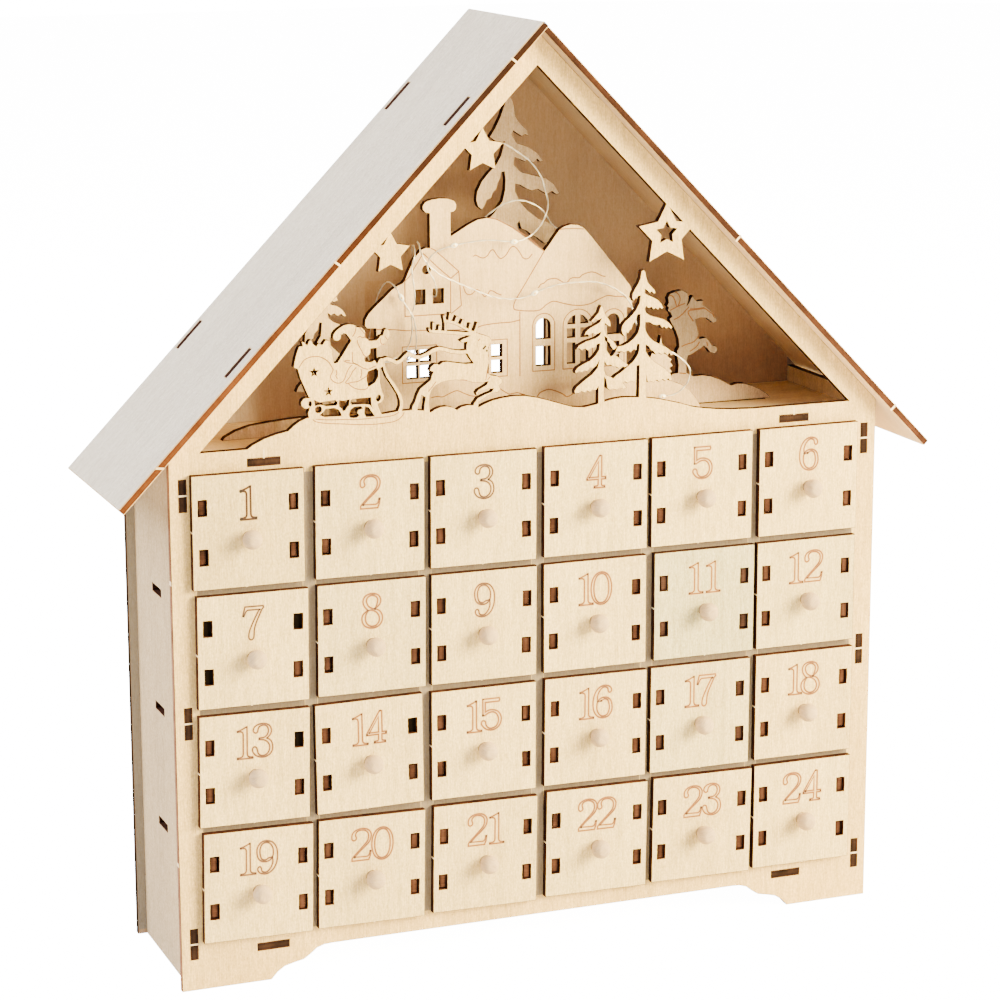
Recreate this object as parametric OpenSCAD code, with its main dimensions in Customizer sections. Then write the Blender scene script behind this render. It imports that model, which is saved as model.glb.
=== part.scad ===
// Wooden advent calendar in the shape of a gabled house: 24 numbered drawers
// under a roof space that holds a layered winter scene and a small light string.
// Millimetres. +X to the right, +Y into the house, +Z up.

/* [House] */
// Width of the front and back panels
house_w = 300; // [299:0.5:301]
// Sheet thickness
ply = 3; // [2.9:0.05:3]
// Clear depth between the front and the back panel
room_d = 65; // [64:0.5:68]
// How far the roof stands out in front of the facade
roof_front = 6.5; // [5:0.5:7.5]
// How far the roof stands out behind the back panel
roof_rear = 3.5; // [2:0.5:6]

/* [Drawers] */
// Width of a drawer's front board
front_w = 44.6; // [44.2:0.1:44.8]
// Height of a drawer's front board
front_h = 44.8; // [44.4:0.1:45]
// Depth of a drawer's tray
tray_d = 58; // [50:1:60]
// Diameter of the turned knob
knob_d = 7.6; // [7:0.1:8]
// Show the drawers with the small glueing and seating scatter of a hand-built one (1) or exactly square (0)
scatter = 1; // [0:1]

/* [Scene] */
// Depth of the cottage plate behind the facade's face
cottage_y = 18; // [17:0.5:18]
// Depth of the forest plate behind the facade's face
forest_y = 36; // [36:0.5:37]

/* [Hidden] */
DRAWERS = ["drawer_01", "drawer_02", "drawer_03", "drawer_04", "drawer_05", "drawer_06",
           "drawer_07", "drawer_08", "drawer_09", "drawer_10", "drawer_11", "drawer_12",
           "drawer_13", "drawer_14", "drawer_15", "drawer_16", "drawer_17", "drawer_18",
           "drawer_19", "drawer_20", "drawer_21", "drawer_22", "drawer_23", "drawer_24"];

hw = house_w / 2;
pitch = 45.8;                       // roof slope
eave_x = 171.4;                     // outer lower corner of the roof
eave_z = 197.2;
slope_l = eave_x / cos(pitch);      // outer face, eave to ridge
ridge_z = eave_z + slope_l * sin(pitch);
under_z = ridge_z - ply / cos(pitch);   // where the two undersides meet
back_y = ply + room_d;              // front face of the back panel
wall_x = 143.3;                     // inner face of a side wall
wall_h = 218.2;
base_z = 12.9;                      // underside of the base board
floor_z = 208.4;                    // underside of the scene floor
floor_top = floor_z + ply;
shelf_z = [62.9, 111.3, 159.4];     // undersides of the shelves
col = 47.6;                         // column pitch, also the dividers' pitch
row_z = [184.5, 137.0, 89.3, 41.7]; // centres of the drawer fronts
open_w = 42.4;                      // drawer opening in the facade
open_lo = 22.0;                     // opening below and above the row's centre
open_hi = 20.2;
tray_w = 38.6;
tray_lo = 21.4;
tray_hi = 19.2;
gap = 0.05;                         // glue clearance of a tab in its slot
knob_y = -ply - 4;                // centre of the knob's ball
rest_gap = 0.1;                     // closed fronts stop this far from the facade
knob_tip = knob_y - 3.4 - rest_gap;
y_mid = (knob_tip + back_y + ply + roof_rear) / 2;
tab_s = [64.5, 191.9];              // roof tabs: distance up the slope
tab_l = 14.2;
wall_tabs = [[12.9, 12.5], [102.8, 12.6], [192.8, 12.5]];
eps = 0.01;

// Small offsets of each drawer: across, up, tilt in degrees
jog = [[-0.9, 0.1, -0.2], [0.4, 0, -0.4], [-0.1, 0, -0.3], [0.1, 0, -0.2], [-1.1, 0, 0], [-0.9, 0, 0.1],
       [0, 0.2, -0.5], [0.6, 0.2, -0.5], [-0.1, 0, -0.4], [-0.1, 0, 0], [0.5, 0, -0.1], [-1.1, 0, 0],
       [-0.4, 0.2, -0.9], [-0.9, 0.2, 0.5], [-0.4, 0, -0.2], [0.3, 0, -0.5], [-0.8, -0.1, -0.3], [-1.1, 0, -0.2],
       [0.2, 0.3, -1], [-0.6, 0, -0.9], [0, -0.1, -0.8], [1, 0.1, -0.8], [0.6, 0, -0.8], [-1, 0.2, -0.2]];

// ---------- helpers ----------
module at_frame() { translate([0, -y_mid, 0]) children(); }
// a sheet cut in the XZ plane, its front face at y
module sheet_xz(y, t = ply) { translate([0, y + t, 0]) rotate([90, 0, 0]) linear_extrude(t) children(); }
// a sheet cut in the YZ plane, its lower-x face at x
module sheet_yz(x, t = ply) { translate([x, 0, 0]) rotate([90, 0, 90]) linear_extrude(t) children(); }
module rect(x0, x1, y0, y1) { translate([x0, y0]) square([x1 - x0, y1 - y0]); }
module both_sides() { children(); mirror([1, 0]) children(); }
module star(cx, cz, r, k = 0.52) {
  polygon([for (i = [0:9]) [cx + (i % 2 == 0 ? r : k * r) * sin(36 * i), cz + (i % 2 == 0 ? r : k * r) * cos(36 * i)]]);
}
// local frame of the left roof: x up the slope, y up out of the outer face
module on_slope() { translate([-eave_x, eave_z]) rotate(pitch) children(); }

// ---------- panel outlines ----------
module gable_outline() {
  polygon([[-hw, 0], [-113.5, 0], [-111, 2.8], [-108, 4.8], [-104, 5.8], [-100, 6.6], [-97, 8.6], [-94.5, 10.6], [-91.5, 11.6], [-88, 11.8],
           [88, 11.8], [91.5, 11.6], [94.5, 10.6], [97, 8.6], [100, 6.6], [104, 5.8], [108, 4.8], [111, 2.8], [113.5, 0], [hw, 0],
           [hw, under_z - hw * tan(pitch)], [0, under_z], [-hw, under_z - hw * tan(pitch)]]);
  both_sides() on_slope() for (s = tab_s) rect(s, s + tab_l, -ply - 2, 0);
}
module panel_slots() {
  both_sides() {
    for (t = wall_tabs) rect(wall_x - gap, wall_x + ply + gap, t[0] - gap, t[0] + t[1] + gap);
    rect(106 - gap, 119 + gap, base_z - gap, base_z + ply + gap);
    rect(106 - gap, 119 + gap, floor_z - gap, floor_z + ply + gap);
  }
}

// the opening of the gable, down to the snow bank
module gable_opening() {
  polygon([[-137.5, 215.2], [-119, 215.2], [-116.5, 216.8], [-112, 218.8], [-107, 220.2], [-102.6, 221], [-100.5, 222.8], [-98, 224.4],
           [-95, 225.6], [-91, 225.2], [-89, 225.2], [-81, 225], [-79, 224.6], [-76, 224], [-67, 223.8], [-64, 224.8], [-58, 225.5], [-51.5, 225.5],
           [-48, 225], [-44.6, 224], [-43, 225], [-40.5, 225.8], [-38, 225.9], [-35.5, 225.2], [-33.8, 224.1], [-32, 225.2],
           [-29.5, 225.7], [-27, 225.5], [-24.8, 224.6], [-22, 225.8], [-19, 226.8], [-15, 227.5], [-10, 227.9], [-5, 227.6],
           [0, 226.5], [5, 225], [10, 223.3], [15, 221.7], [20, 221.2], [25, 222], [29, 223], [33, 223.7], [37, 224], [42, 223.7],
           [47, 223.1], [52, 222.3], [57, 221], [62, 219.7], [67, 218], [72, 217], [78, 216.2], [85, 215.6], [94, 215.2],
           [137.5, 215.2], [0, 356.2]]);
}

// ---------- sleigh with its rider, cut in the facade ----------
module sleigh() {
  difference() {
    union() {
      // body and sack
      polygon([[-94.2, 233.6], [-95.8, 237.2], [-97.4, 241], [-98.4, 244.6], [-100, 245.4], [-99.4, 248.4], [-98.6, 251.2], [-97.7, 253.4],
               [-96.2, 253.5], [-96.8, 255.2], [-95.6, 255], [-94.4, 253.7], [-93.6, 255.4], [-92.6, 255.6], [-92.2, 254.2], [-90.8, 253],
               [-90, 254.2], [-88.4, 253.4], [-87, 255.2], [-85.4, 254.8], [-85.6, 253], [-84.4, 251.4], [-84.2, 248.6], [-83.6, 245.4],
               [-83.2, 244.6], [-76, 243], [-70.6, 241], [-70.6, 238.4], [-70, 236], [-67.4, 237.4], [-66.2, 239.6], [-66, 243],
               [-65.3, 243], [-65.2, 237], [-64.4, 233.6], [-63.6, 232], [-64, 230], [-65, 229.4], [-66.6, 229.6], [-67.6, 231.2],
               [-69, 231.6], [-77.6, 231.4], [-79, 231.2], [-80.2, 231], [-81.4, 231.2], [-82.4, 231.6], [-87.8, 231.2], [-89.4, 231], [-91, 231.6], [-92.4, 232.4]]);
      // scroll at the back
      translate([-95.1, 231.2]) circle(r = 2.2, $fn = 12);
      polygon([[-95, 233.3], [-92, 233.4], [-91.4, 228.6], [-92.4, 224.6], [-94.2, 225.2], [-94.6, 227.4], [-93.8, 229.4]]);
      // runner and its struts
      polygon([[-94.2, 225], [-93.8, 228], [-92, 230], [-89.4, 230.4], [-87, 229.6], [-83, 229.6], [-81, 228.4], [-80.4, 227.2],
               [-79.6, 227.4], [-78.6, 229], [-76.6, 229.4], [-72, 229.4], [-69.4, 228.8], [-68.4, 227.4], [-66.6, 224.2], [-64, 225], [-64, 222], [-94, 223]]);
      polygon([[-83.4, 231.8], [-82, 231.8], [-81.8, 228], [-83, 228]]);
      polygon([[-77.8, 232], [-76.6, 232], [-77, 228.6], [-78.2, 228.6]]);
      polygon([[-69.2, 231.8], [-68, 232], [-66.6, 230.4], [-66, 228], [-64.6, 224.4], [-67.2, 224], [-69, 228.4]]);
      translate([-66, 231]) circle(r = 2.1, $fn = 12);
      // front curve of the runner
      polygon([[-65.6, 246.2], [-64.6, 246.8], [-63.4, 246.2], [-63.2, 244.6], [-62.6, 242], [-61.4, 239.4], [-58.6, 235.4], [-56.6, 231.8],
               [-55.8, 229.4], [-55.8, 227.2], [-56.6, 225], [-58.4, 225], [-57.4, 227.4], [-57.4, 229.4], [-58.2, 231.8], [-60.2, 235.2],
               [-62.8, 239.2], [-63.8, 241.6], [-64.2, 243.2], [-66.2, 242], [-67.2, 243.4]]);
      // rider: coat, head, cap and beard
      polygon([[-84, 246], [-82.4, 246.2], [-80.7, 248.6], [-79.4, 250.4], [-78, 252.6], [-76.8, 254.2], [-77.8, 255.6], [-78.6, 256.8],
               [-79.8, 257.2], [-80.6, 256.6], [-82, 257.6], [-84, 257], [-83, 258.4], [-81.6, 259.4], [-79.8, 260.4], [-77.6, 260.8],
               [-75.6, 260.4], [-74.4, 259.4], [-72.6, 259.2], [-71.2, 257.8], [-70.9, 256.4], [-71.2, 255.2], [-70, 254.4], [-69.6, 253.8],
               [-66.6, 253.8], [-65.8, 254.4], [-65, 255.4], [-64, 255.6], [-63.4, 257.6], [-62.4, 258], [-61.2, 257.2], [-60.9, 255.8],
               [-61.6, 253.8], [-62.8, 252.4], [-64.4, 251.8], [-66, 250.6], [-69, 250.6], [-69, 249], [-70, 247.8], [-71.4, 247.2],
               [-71.2, 245.8], [-68.8, 245.4], [-67.4, 246.2], [-66.4, 244.6], [-66, 243.2], [-68.4, 242.2], [-70, 241.8], [-71, 239.6],
               [-74, 236], [-84, 238]]);
      translate([-82.4, 256.2]) circle(r = 1.75, $fn = 12);
    }
    star(-91.8, 243, 1.7, 0.42);
    star(-86.2, 235.1, 1.6, 0.42);
    translate([-90.3, 228.4]) circle(r = 1.3, $fn = 12);
    translate([-93.6, 230.9]) scale([0.6, 1]) circle(r = 1, $fn = 10);
    polygon([[-88.2, 227.4], [-87.4, 228.3], [-84, 228.5], [-82.2, 227.6], [-81.4, 226.2], [-81.2, 225.3], [-88, 225.5], [-89.6, 226.2]]);
    polygon([[-87.6, 230], [-87, 231], [-82.7, 231], [-82.9, 230]]);
    polygon([[-77.4, 229.9], [-77.2, 231], [-69.3, 231], [-69.6, 230]]);
    translate([-66, 231.1]) rotate(-20) scale([0.65, 1]) circle(r = 1.3, $fn = 10);
    polygon([[-78, 225.4], [-77.4, 227.4], [-75.8, 228.3], [-73.2, 228.4], [-72.6, 227.6], [-74.4, 227.2], [-74.8, 226], [-74, 225], [-75, 224.2], [-77.4, 224.3]]);
    polygon([[-71.4, 228.2], [-70, 227.6], [-67.8, 224.2], [-71, 224.2], [-71.8, 225.6]]);
  }
}

// ---------- reindeer and its rein, cut in the facade ----------
module reindeer() {
  // rein
  polygon([[-64.2, 246.6], [-62.4, 247], [-60.2, 246.4], [-58.4, 245.2], [-57, 245.8], [-55.4, 247.3], [-53.9, 248.5], [-52.4, 248.1],
           [-50.6, 246.9], [-48.8, 246.7], [-46.6, 247.5], [-43.4, 249.1], [-41, 249.6], [-38.6, 249.1], [-35.6, 248.1], [-32, 247.5],
           [-29, 247.6], [-29, 246], [-32.4, 245.9], [-36.2, 246.5], [-39, 247.5], [-41, 247.9], [-43, 247.4], [-46.2, 245.9],
           [-49, 245.1], [-51.2, 245.4], [-53.2, 246.4], [-54, 246.5], [-55.2, 245.3], [-57, 243.9], [-59, 243.7], [-60.8, 244.8],
           [-62.6, 245.4], [-64.2, 244.8]]);
  // body, neck and head
  polygon([[-52.6, 225], [-52.3, 226.8], [-51.2, 228.6], [-50.2, 231.4], [-49, 233.6], [-46.4, 235.4], [-44.6, 236.8], [-44.2, 238.4],
           [-43.5, 239.8], [-45.1, 240.3], [-44.6, 241.8], [-43.2, 242.9], [-41.8, 243], [-41.2, 242.4], [-39.6, 243.4], [-37.6, 243.5],
           [-34, 242.8], [-30, 242.1], [-26.9, 242.1], [-28, 243.6], [-29, 245.2], [-29.8, 246.8], [-29.8, 249.4], [-29.4, 250.6],
           [-31.4, 250.4], [-32.5, 251.2], [-31.2, 252], [-29.6, 252.4], [-28.2, 253], [-27.2, 254.4], [-25.8, 254.2], [-24, 253.4],
           [-21.8, 252.7], [-19.9, 251.9], [-19.2, 250.6], [-19.6, 249.2], [-20.6, 248], [-20.4, 246.4], [-20.6, 244.6], [-20.3, 242.2],
           [-20.9, 240], [-21.2, 237.8], [-19.4, 236.8], [-17, 236.4], [-14.9, 235], [-14.7, 233.6], [-16.2, 232.4], [-15.6, 231],
           [-16.6, 229.8], [-19, 229.6], [-22, 228], [-24.6, 226.6], [-25, 224], [-27.4, 224.2], [-26.8, 226.2], [-25.2, 228.2],
           [-22.2, 229.4], [-19.2, 230.4], [-18.6, 231.4], [-20.8, 231.4], [-24.6, 230.4], [-25.4, 229], [-26, 230.2], [-25, 231.4],
           [-21.4, 233.2], [-20.8, 234.4], [-23.4, 234], [-27, 234.4], [-30.4, 235.5], [-35, 236], [-39.4, 235.6], [-42.6, 234.4],
           [-44.4, 232.4], [-45, 230], [-45.2, 227.4], [-45, 224], [-47.6, 224], [-47.3, 227], [-46.8, 230], [-48.4, 231],
           [-49, 228.4], [-49.8, 226.6], [-50.2, 224.6]]);
  // antlers: two beams with short tines
  polygon([[-27.4, 252.8], [-30, 253.2], [-33, 253.5], [-36, 253.9], [-39, 254.3], [-42, 254.7], [-45, 255.2], [-45.5, 256.9], [-44.7, 257.1],
           [-44.3, 256.3], [-43.8, 256.3], [-43.7, 259.2], [-42.7, 259.2], [-42.6, 256.2], [-41.4, 256.1], [-41.2, 257.9], [-40.2, 257.9],
           [-40.1, 255.9], [-38.9, 255.7], [-38.8, 259.2], [-37.8, 259.2], [-37.7, 255.6], [-33, 255], [-30, 254.6], [-27.4, 254.6]]);
  polygon([[-27, 253.6], [-30, 255.2], [-32.4, 256.6], [-34.6, 257.7], [-36.8, 258.5], [-38.9, 258.6], [-39.5, 261.6], [-38.5, 261.8], [-38, 259.9],
           [-37.2, 259.8], [-36.8, 262.6], [-35.7, 262.4], [-36, 259.5], [-34.7, 259.1], [-33.8, 261.2], [-32.8, 260.8], [-33.6, 258.5],
           [-32.2, 257.8], [-31.3, 259.7], [-30.3, 259.3], [-31, 257.1], [-28.9, 255.9], [-28.4, 257.9], [-27.6, 257.9], [-27.5, 255],
           [-26.6, 254.8], [-25.3, 258.2], [-24.3, 257.8], [-25.6, 253.6]]);
}

// ---------- firs, cut in the facade ----------
module big_fir() {
  polygon([[43.4, 222], [43.6, 236.4], [42.5, 236.2], [42.4, 230.4], [41.4, 229.6], [40, 230.2], [38.6, 229.4], [37.4, 230.2], [36.2, 229.6],
           [35, 230.4], [34, 229.8], [33, 230.4], [31.8, 230.2], [32, 231.8], [33.6, 233.1], [35.6, 234.2], [38, 235.9], [40.9, 238.2], [42.6, 240.4], [43.3, 242.2], [43.5, 244.8], [42.7, 244.9], [42.2, 242.4], [41.2, 242.9], [39.8, 241.8], [38.6, 242.6],
           [37.2, 241.8], [36, 242.4], [34.8, 241.6], [33.4, 242.4], [32.4, 241.2], [33.4, 243.2], [34.2, 244.7], [36.6, 244.9], [38.8, 245.8], [41, 247.3],
           [42.8, 249.4], [43.7, 252.2], [43.8, 256.8], [42.8, 256.8], [42.2, 255.2], [41.4, 253.6], [40.6, 252.8], [40.2, 251.2], [39.2, 250.6], [38.8, 249.4],
           [38, 249.8], [37.2, 248.3], [36.2, 249.3], [35.7, 251], [36, 252.8], [37.2, 254.4], [39.6, 256.2], [41.8, 258.6], [43.4, 261.4], [43.9, 264.2],
           [42.9, 264.2], [42.3, 263], [41.7, 263.3], [41, 262.2], [40.2, 263.6], [40.4, 265.2], [41.4, 267.2], [42.8, 269.2], [43.8, 271.4], [44.1, 274],
           [45.2, 274.6], [46, 273.6], [46.4, 271.4], [46.9, 269.6], [48.4, 267.9], [50, 266.4], [50.4, 264.9], [49.4, 264.7], [48.8, 265.5], [47.8, 265.1],
           [46.8, 266.1], [45.8, 266.8], [45.8, 265.2], [47.2, 264.3], [49.4, 263.4], [51.6, 262.1], [53.2, 260.3], [53.9, 258.7], [53, 258.3], [52.3, 259.1],
           [51.4, 258.1], [50.4, 258.9], [49.6, 258.3], [48.6, 259.5], [47.4, 258.9], [46.4, 259.9], [45.9, 258.9], [46.4, 257.3], [48, 256.2], [51, 255.3],
           [54, 254.3], [56.3, 252.8], [57.9, 250.7], [57, 250.1], [56.2, 250.9], [55, 250.2], [54.2, 251.2], [53.4, 250.5], [52.4, 252.1], [50.8, 252],
           [49.4, 252.4], [47.8, 253.4], [46.2, 253.4], [46, 251.6], [46.4, 249.8], [47.7, 247.8], [49.6, 245.9], [52, 244.6], [55, 243.1], [57.4, 241.4],
           [58.4, 239.5], [57.4, 239.3], [56.6, 240.3], [55.6, 239.7], [54.4, 240.7], [53.2, 240], [52, 240.8], [50.6, 240.2], [49.6, 241.6], [48.4, 242.2],
           [47.6, 243.6], [46.4, 244.4], [46.4, 241.9], [47.6, 239.9], [49.6, 238], [52, 236.2], [55, 234.2], [57.3, 231.9], [58.1, 229.4], [57, 229.1],
           [56.2, 230.1], [55, 229.1], [53.8, 230], [52.4, 229], [51.2, 229.9], [49.8, 229], [48.4, 229.6], [47.2, 229.2], [46.8, 231], [46.8, 222]]);
}
module small_fir() {
  polygon([[25.9, 221], [25.9, 229], [25, 227.6], [23.4, 227.8], [22.4, 226.9], [21.2, 227.7], [20, 226.9], [18.8, 227.6], [17.6, 226.8], [16.6, 227.1],
           [15.9, 226.6], [15.7, 228], [16.5, 229.5], [19.4, 231.7], [23.2, 234.2], [25.5, 236.6], [26.2, 239.2], [25, 237.4], [23.6, 236.4], [22.4, 236.8],
           [21.2, 235.4], [20, 235.9], [18.8, 235], [17.6, 235.6], [16.2, 234.8], [15.9, 235.9], [16.8, 237.2], [19, 238.4], [22.2, 239.7], [24.6, 241.7],
           [26.1, 243.8], [26.5, 246.2], [25.4, 246], [24.4, 244.6], [23, 244.8], [21.6, 243.6], [20.2, 244.6], [18.8, 243.9], [17.6, 244.9], [16.3, 244.4],
           [17.4, 246.1], [20.6, 247.6], [24.6, 248.5], [26.4, 249.6], [27, 250.8], [25.6, 250.2], [24.4, 249.9], [23.2, 250.6], [22, 249.5], [21, 250.3],
           [19.6, 249.7], [20.4, 251.4], [22.4, 252.9], [25, 254], [26.5, 255], [27.2, 256.2], [25.8, 255.6], [24.6, 256], [23.4, 254.9], [22.6, 255.4],
           [24.2, 257], [25.8, 258.6], [26.4, 260.4], [27.1, 261.5], [28, 260.4], [28.5, 258.4], [29.8, 256.6], [31, 254.7], [31.2, 252.6], [30.2, 253],
           [29.4, 253.6], [28.7, 254.2], [28.6, 252], [29, 250.4], [30.4, 248.6], [32.6, 246.6], [34, 244.4], [32.4, 243.2], [31.6, 244.2], [31, 245],
           [30.6, 246.2], [29.8, 246.8], [29.5, 248.2], [28.6, 248.9], [28.9, 245.6], [29.6, 243.2], [31.2, 240.9], [33, 241.4], [36, 239.2], [39, 236.8],
           [37.4, 235.9], [36.2, 236.4], [34.8, 235.6], [33.6, 236.4], [32.2, 236.6], [31, 237.4], [29.6, 237.2], [28.6, 238.8], [28.4, 235.6], [29.2, 233.6],
           [31.4, 232.6], [33.6, 231], [36.6, 229.8], [38.4, 227.6], [36.6, 227.2], [35.2, 227.8], [33.8, 227], [32.2, 227.6], [30.8, 227.2], [29.7, 228.2],
           [29.2, 231.6], [28.5, 232.6], [28.5, 221]]);
}

module front_panel() {
  color("burlywood") at_frame() {
    sheet_xz(0) difference() {
      gable_outline();
      gable_opening();
      panel_slots();
      for (r = [0:3]) for (c = [0:5])
        translate([col * (c - 2.5), row_z[r]]) rect(-open_w / 2, open_w / 2, -open_lo, open_hi);
    }
    sheet_xz(0) sleigh();
    sheet_xz(0) reindeer();
    sheet_xz(0) big_fir();
    sheet_xz(0) small_fir();
    sheet_xz(0) star(-60.5, 286.9, 8.6);
    sheet_xz(0) star(-22.7, 324.4, 9.2);
    sheet_xz(0) difference() { star(55.1, 287.9, 13); star(55, 288.7, 4.5); }
  }
}

module back_panel() {
  color("tan") at_frame() sheet_xz(back_y) difference() {
    gable_outline();
    panel_slots();
    rect(-31, 31, 213.5, 250);
    for (z = shelf_z) both_sides() rect(60 - gap, 80 + gap, z - gap, z + ply + gap);
  }
}

// side wall: six tabs, three slots for the shelf tabs
module wall_outline(slots) {
  difference() {
    union() {
      rect(ply, back_y, 0, wall_h);
      for (t = wall_tabs) rect(0, back_y + ply, t[0], t[0] + t[1]);
    }
    for (z = slots) rect(29.9, 43.1, z - gap, z + ply + gap);
  }
}
// the left wall stands the other way up, so its slots miss the shelves
module side_wall_left() { color("wheat") at_frame() sheet_yz(-wall_x - ply) wall_outline([for (z = shelf_z) wall_h - ply - z]); }
module side_wall_right() { color("wheat") at_frame() sheet_yz(wall_x) wall_outline(shelf_z); }

module roof_sheet(len) {
  difference() {
    translate([0, -roof_front, -ply]) cube([len, roof_front + back_y + ply + roof_rear, ply]);
    for (s = tab_s) for (y = [0, back_y])
      translate([s - gap, y - gap, -ply - 1]) cube([tab_l + 2 * gap, ply + 2 * gap, ply + 2]);
  }
}
module roof_panel_left() {
  color("gainsboro") at_frame() translate([-eave_x, 0, eave_z]) rotate([0, -pitch, 0]) roof_sheet(slope_l);
}
module roof_panel_right() {
  color("gainsboro") at_frame() mirror([1, 0, 0]) translate([-eave_x, 0, eave_z]) rotate([0, -pitch, 0]) roof_sheet(slope_l - ply - 0.15);
}

// horizontal boards
module board(z, tabs_x, shelf = false) {
  translate([0, 0, z]) linear_extrude(ply) difference() {
    union() {
      rect(-wall_x, wall_x, ply, back_y);
      if (shelf) {
        rect(wall_x - 1, wall_x + ply, 30, 43);
        both_sides() rect(60, 80, back_y - 1, back_y + ply);
      } else both_sides() rect(tabs_x[0], tabs_x[1], 0, back_y + ply);
    }
    if (shelf) for (c = [-2:2]) rect(col * c - ply / 2 - gap, col * c + ply / 2 + gap, ply - 1, ply + room_d / 2);
  }
}
module base_board() { color("burlywood") at_frame() board(base_z, [106, 119]); }
module scene_floor() {
  color("burlywood") at_frame() difference() {
    board(floor_z, [106, 119]);
    translate([0, 0, floor_z - 1]) linear_extrude(ply + 2) {
      for (x = [-58, 30]) rect(x - gap, x + 12 + gap, cottage_y - gap, cottage_y + ply + gap);
      for (x = [-62, 50]) rect(x - gap, x + 12 + gap, forest_y - gap, forest_y + ply + gap);
    }
  }
}
module shelf_lower() { color("burlywood") at_frame() board(shelf_z[0], [0, 0], true); }
module shelf_middle() { color("burlywood") at_frame() board(shelf_z[1], [0, 0], true); }
module shelf_upper() { color("burlywood") at_frame() board(shelf_z[2], [0, 0], true); }

// upright divider, slotted from behind over the shelves
module divider(c) {
  color("burlywood") at_frame() sheet_yz(col * c - ply / 2) difference() {
    rect(ply, back_y, base_z + ply, floor_z);
    for (z = shelf_z) rect(ply + room_d / 2, back_y + 1, z - gap, z + ply + gap);
  }
}
module divider_1() { divider(-2); }
module divider_2() { divider(-1); }
module divider_3() { divider(0); }
module divider_4() { divider(1); }
module divider_5() { divider(2); }

// strips that lift the lowest drawers to the lower edge of their openings
module base_runners() {
  color("burlywood") at_frame() for (c = [-2.5:2.5]) for (x = [-1, 1])
    translate([col * c + x * 15 - 4, ply + 2, base_z + ply]) cube([8, tray_d, ply]);
}

// ---------- cottage plate ----------
module arched(x0, x1, z0, z1) {
  r = (x1 - x0) / 2;
  rect(x0, x1, z0, z1 - r);
  translate([x0 + r, z1 - r]) circle(r = r, $fn = 40);
}
module cottage_outline() {
  // ground, walls, roofs and chimney
  polygon([[-96, 211.4], [-95, 214], [-90, 217.5], [-84, 219.5], [-76, 220.5], [-66, 221], [-60.5, 221],
           [-60.5, 255], [-64.2, 255.2], [-65.2, 256.4], [-65, 258.6], [-63.6, 261], [-60.5, 264], [-57, 267], [-54, 269.8], [-51.8, 271.2],
           [-49.4, 272.2], [-48.4, 273.4], [-47, 276.6], [-45.4, 280], [-43.4, 283], [-41.4, 285], [-39.6, 285.6], [-38, 285.4],
           [-38, 298.8], [-39.6, 299.2], [-40.8, 300.4], [-40.9, 302], [-39.8, 303.4], [-37.4, 304.2], [-34, 304.6], [-30.6, 304.4],
           [-27.8, 303.4], [-26.8, 301.9], [-26.9, 300.2], [-27.8, 299], [-29.2, 298.8], [-29.2, 289.6],
           [-26, 291.4], [-22, 293.7], [-18, 295.5], [-14, 296], [-10, 295.1], [-5, 292.6], [0, 289], [5, 285.2], [10, 281.4],
           [12, 283.8], [14.4, 287], [16.6, 289.8], [18.8, 291], [21.6, 291.6], [24.6, 291.2], [27, 290], [30, 286.8], [34, 282],
           [39, 276], [43.6, 270.4], [47.4, 265.6], [48.4, 262.6], [48.4, 259], [48, 256.4], [46, 256.8], [46, 231],
           [49, 232], [50.6, 234], [52.4, 233.4], [54, 235.8], [56, 234.8], [57, 237.6], [59, 237.4], [60.4, 241.2], [61, 244.4], [61.6, 241],
           [63.2, 238.6], [65, 236.6], [64, 235.8], [66, 234.2], [65.2, 233.2], [66.6, 231.8], [65, 230.6], [66.2, 229.2], [64.4, 228.2],
           [64.6, 226], [67, 225], [70.4, 223.6], [74, 221], [77, 217.6], [79, 214], [79.6, 211.4]]);
  // fir behind the sleigh
  polygon([[-83, 212], [-83, 231], [-86, 229.6], [-88.4, 230.8], [-90.2, 231.6], [-91.8, 232.2], [-93.6, 232.2], [-92.6, 234.4], [-91.2, 235.8],
           [-88.4, 237.4], [-86, 240], [-84.2, 243.6], [-86.4, 242.6], [-88, 243.8], [-90, 243.2], [-91.6, 244.4], [-90.6, 246.6], [-87.8, 248.6], [-85, 250.8],
           [-83.2, 253.6], [-82.7, 258.6], [-83.6, 258.8], [-84.2, 255.8], [-85.6, 254.6], [-86.2, 252.6], [-87.6, 251.6], [-88.4, 250],
           [-89.8, 251], [-89.6, 254.6], [-88, 257.6], [-85.4, 260.4], [-83.2, 263.2], [-81.4, 266], [-79.6, 269.4], [-78.4, 272.6],
           [-77.4, 271], [-76.6, 269.2], [-75.8, 267], [-77.6, 266.4], [-79.2, 267.2], [-78.8, 265.6], [-76.4, 265], [-74.4, 263.6], [-73.2, 262], [-72.6, 260.5],
           [-73.8, 260.7], [-74.8, 261.6], [-76, 260.8], [-77.6, 261.9], [-79, 261.2], [-80, 262.2], [-79.8, 260.4], [-78, 258.9], [-75.4, 257.8],
           [-72.6, 256.6], [-70.6, 254], [-72.4, 253.4], [-74, 254.2], [-76, 252.8], [-77.8, 253.6], [-79.4, 252.6], [-79, 249.6], [-76, 246.6],
           [-72, 244.4], [-69, 241.2], [-71.6, 241], [-74, 242], [-76.4, 240.6], [-79, 241.4], [-79.6, 238], [-77.6, 234.6], [-73.6, 231.6],
           [-69.6, 229], [-68.6, 226.4], [-72, 226.6], [-75, 227.4], [-78, 226.2], [-80, 227.2], [-80, 212]]);
  for (x = [-58, 30]) rect(x, x + 12, floor_z, floor_top + 0.5);
}
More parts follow.
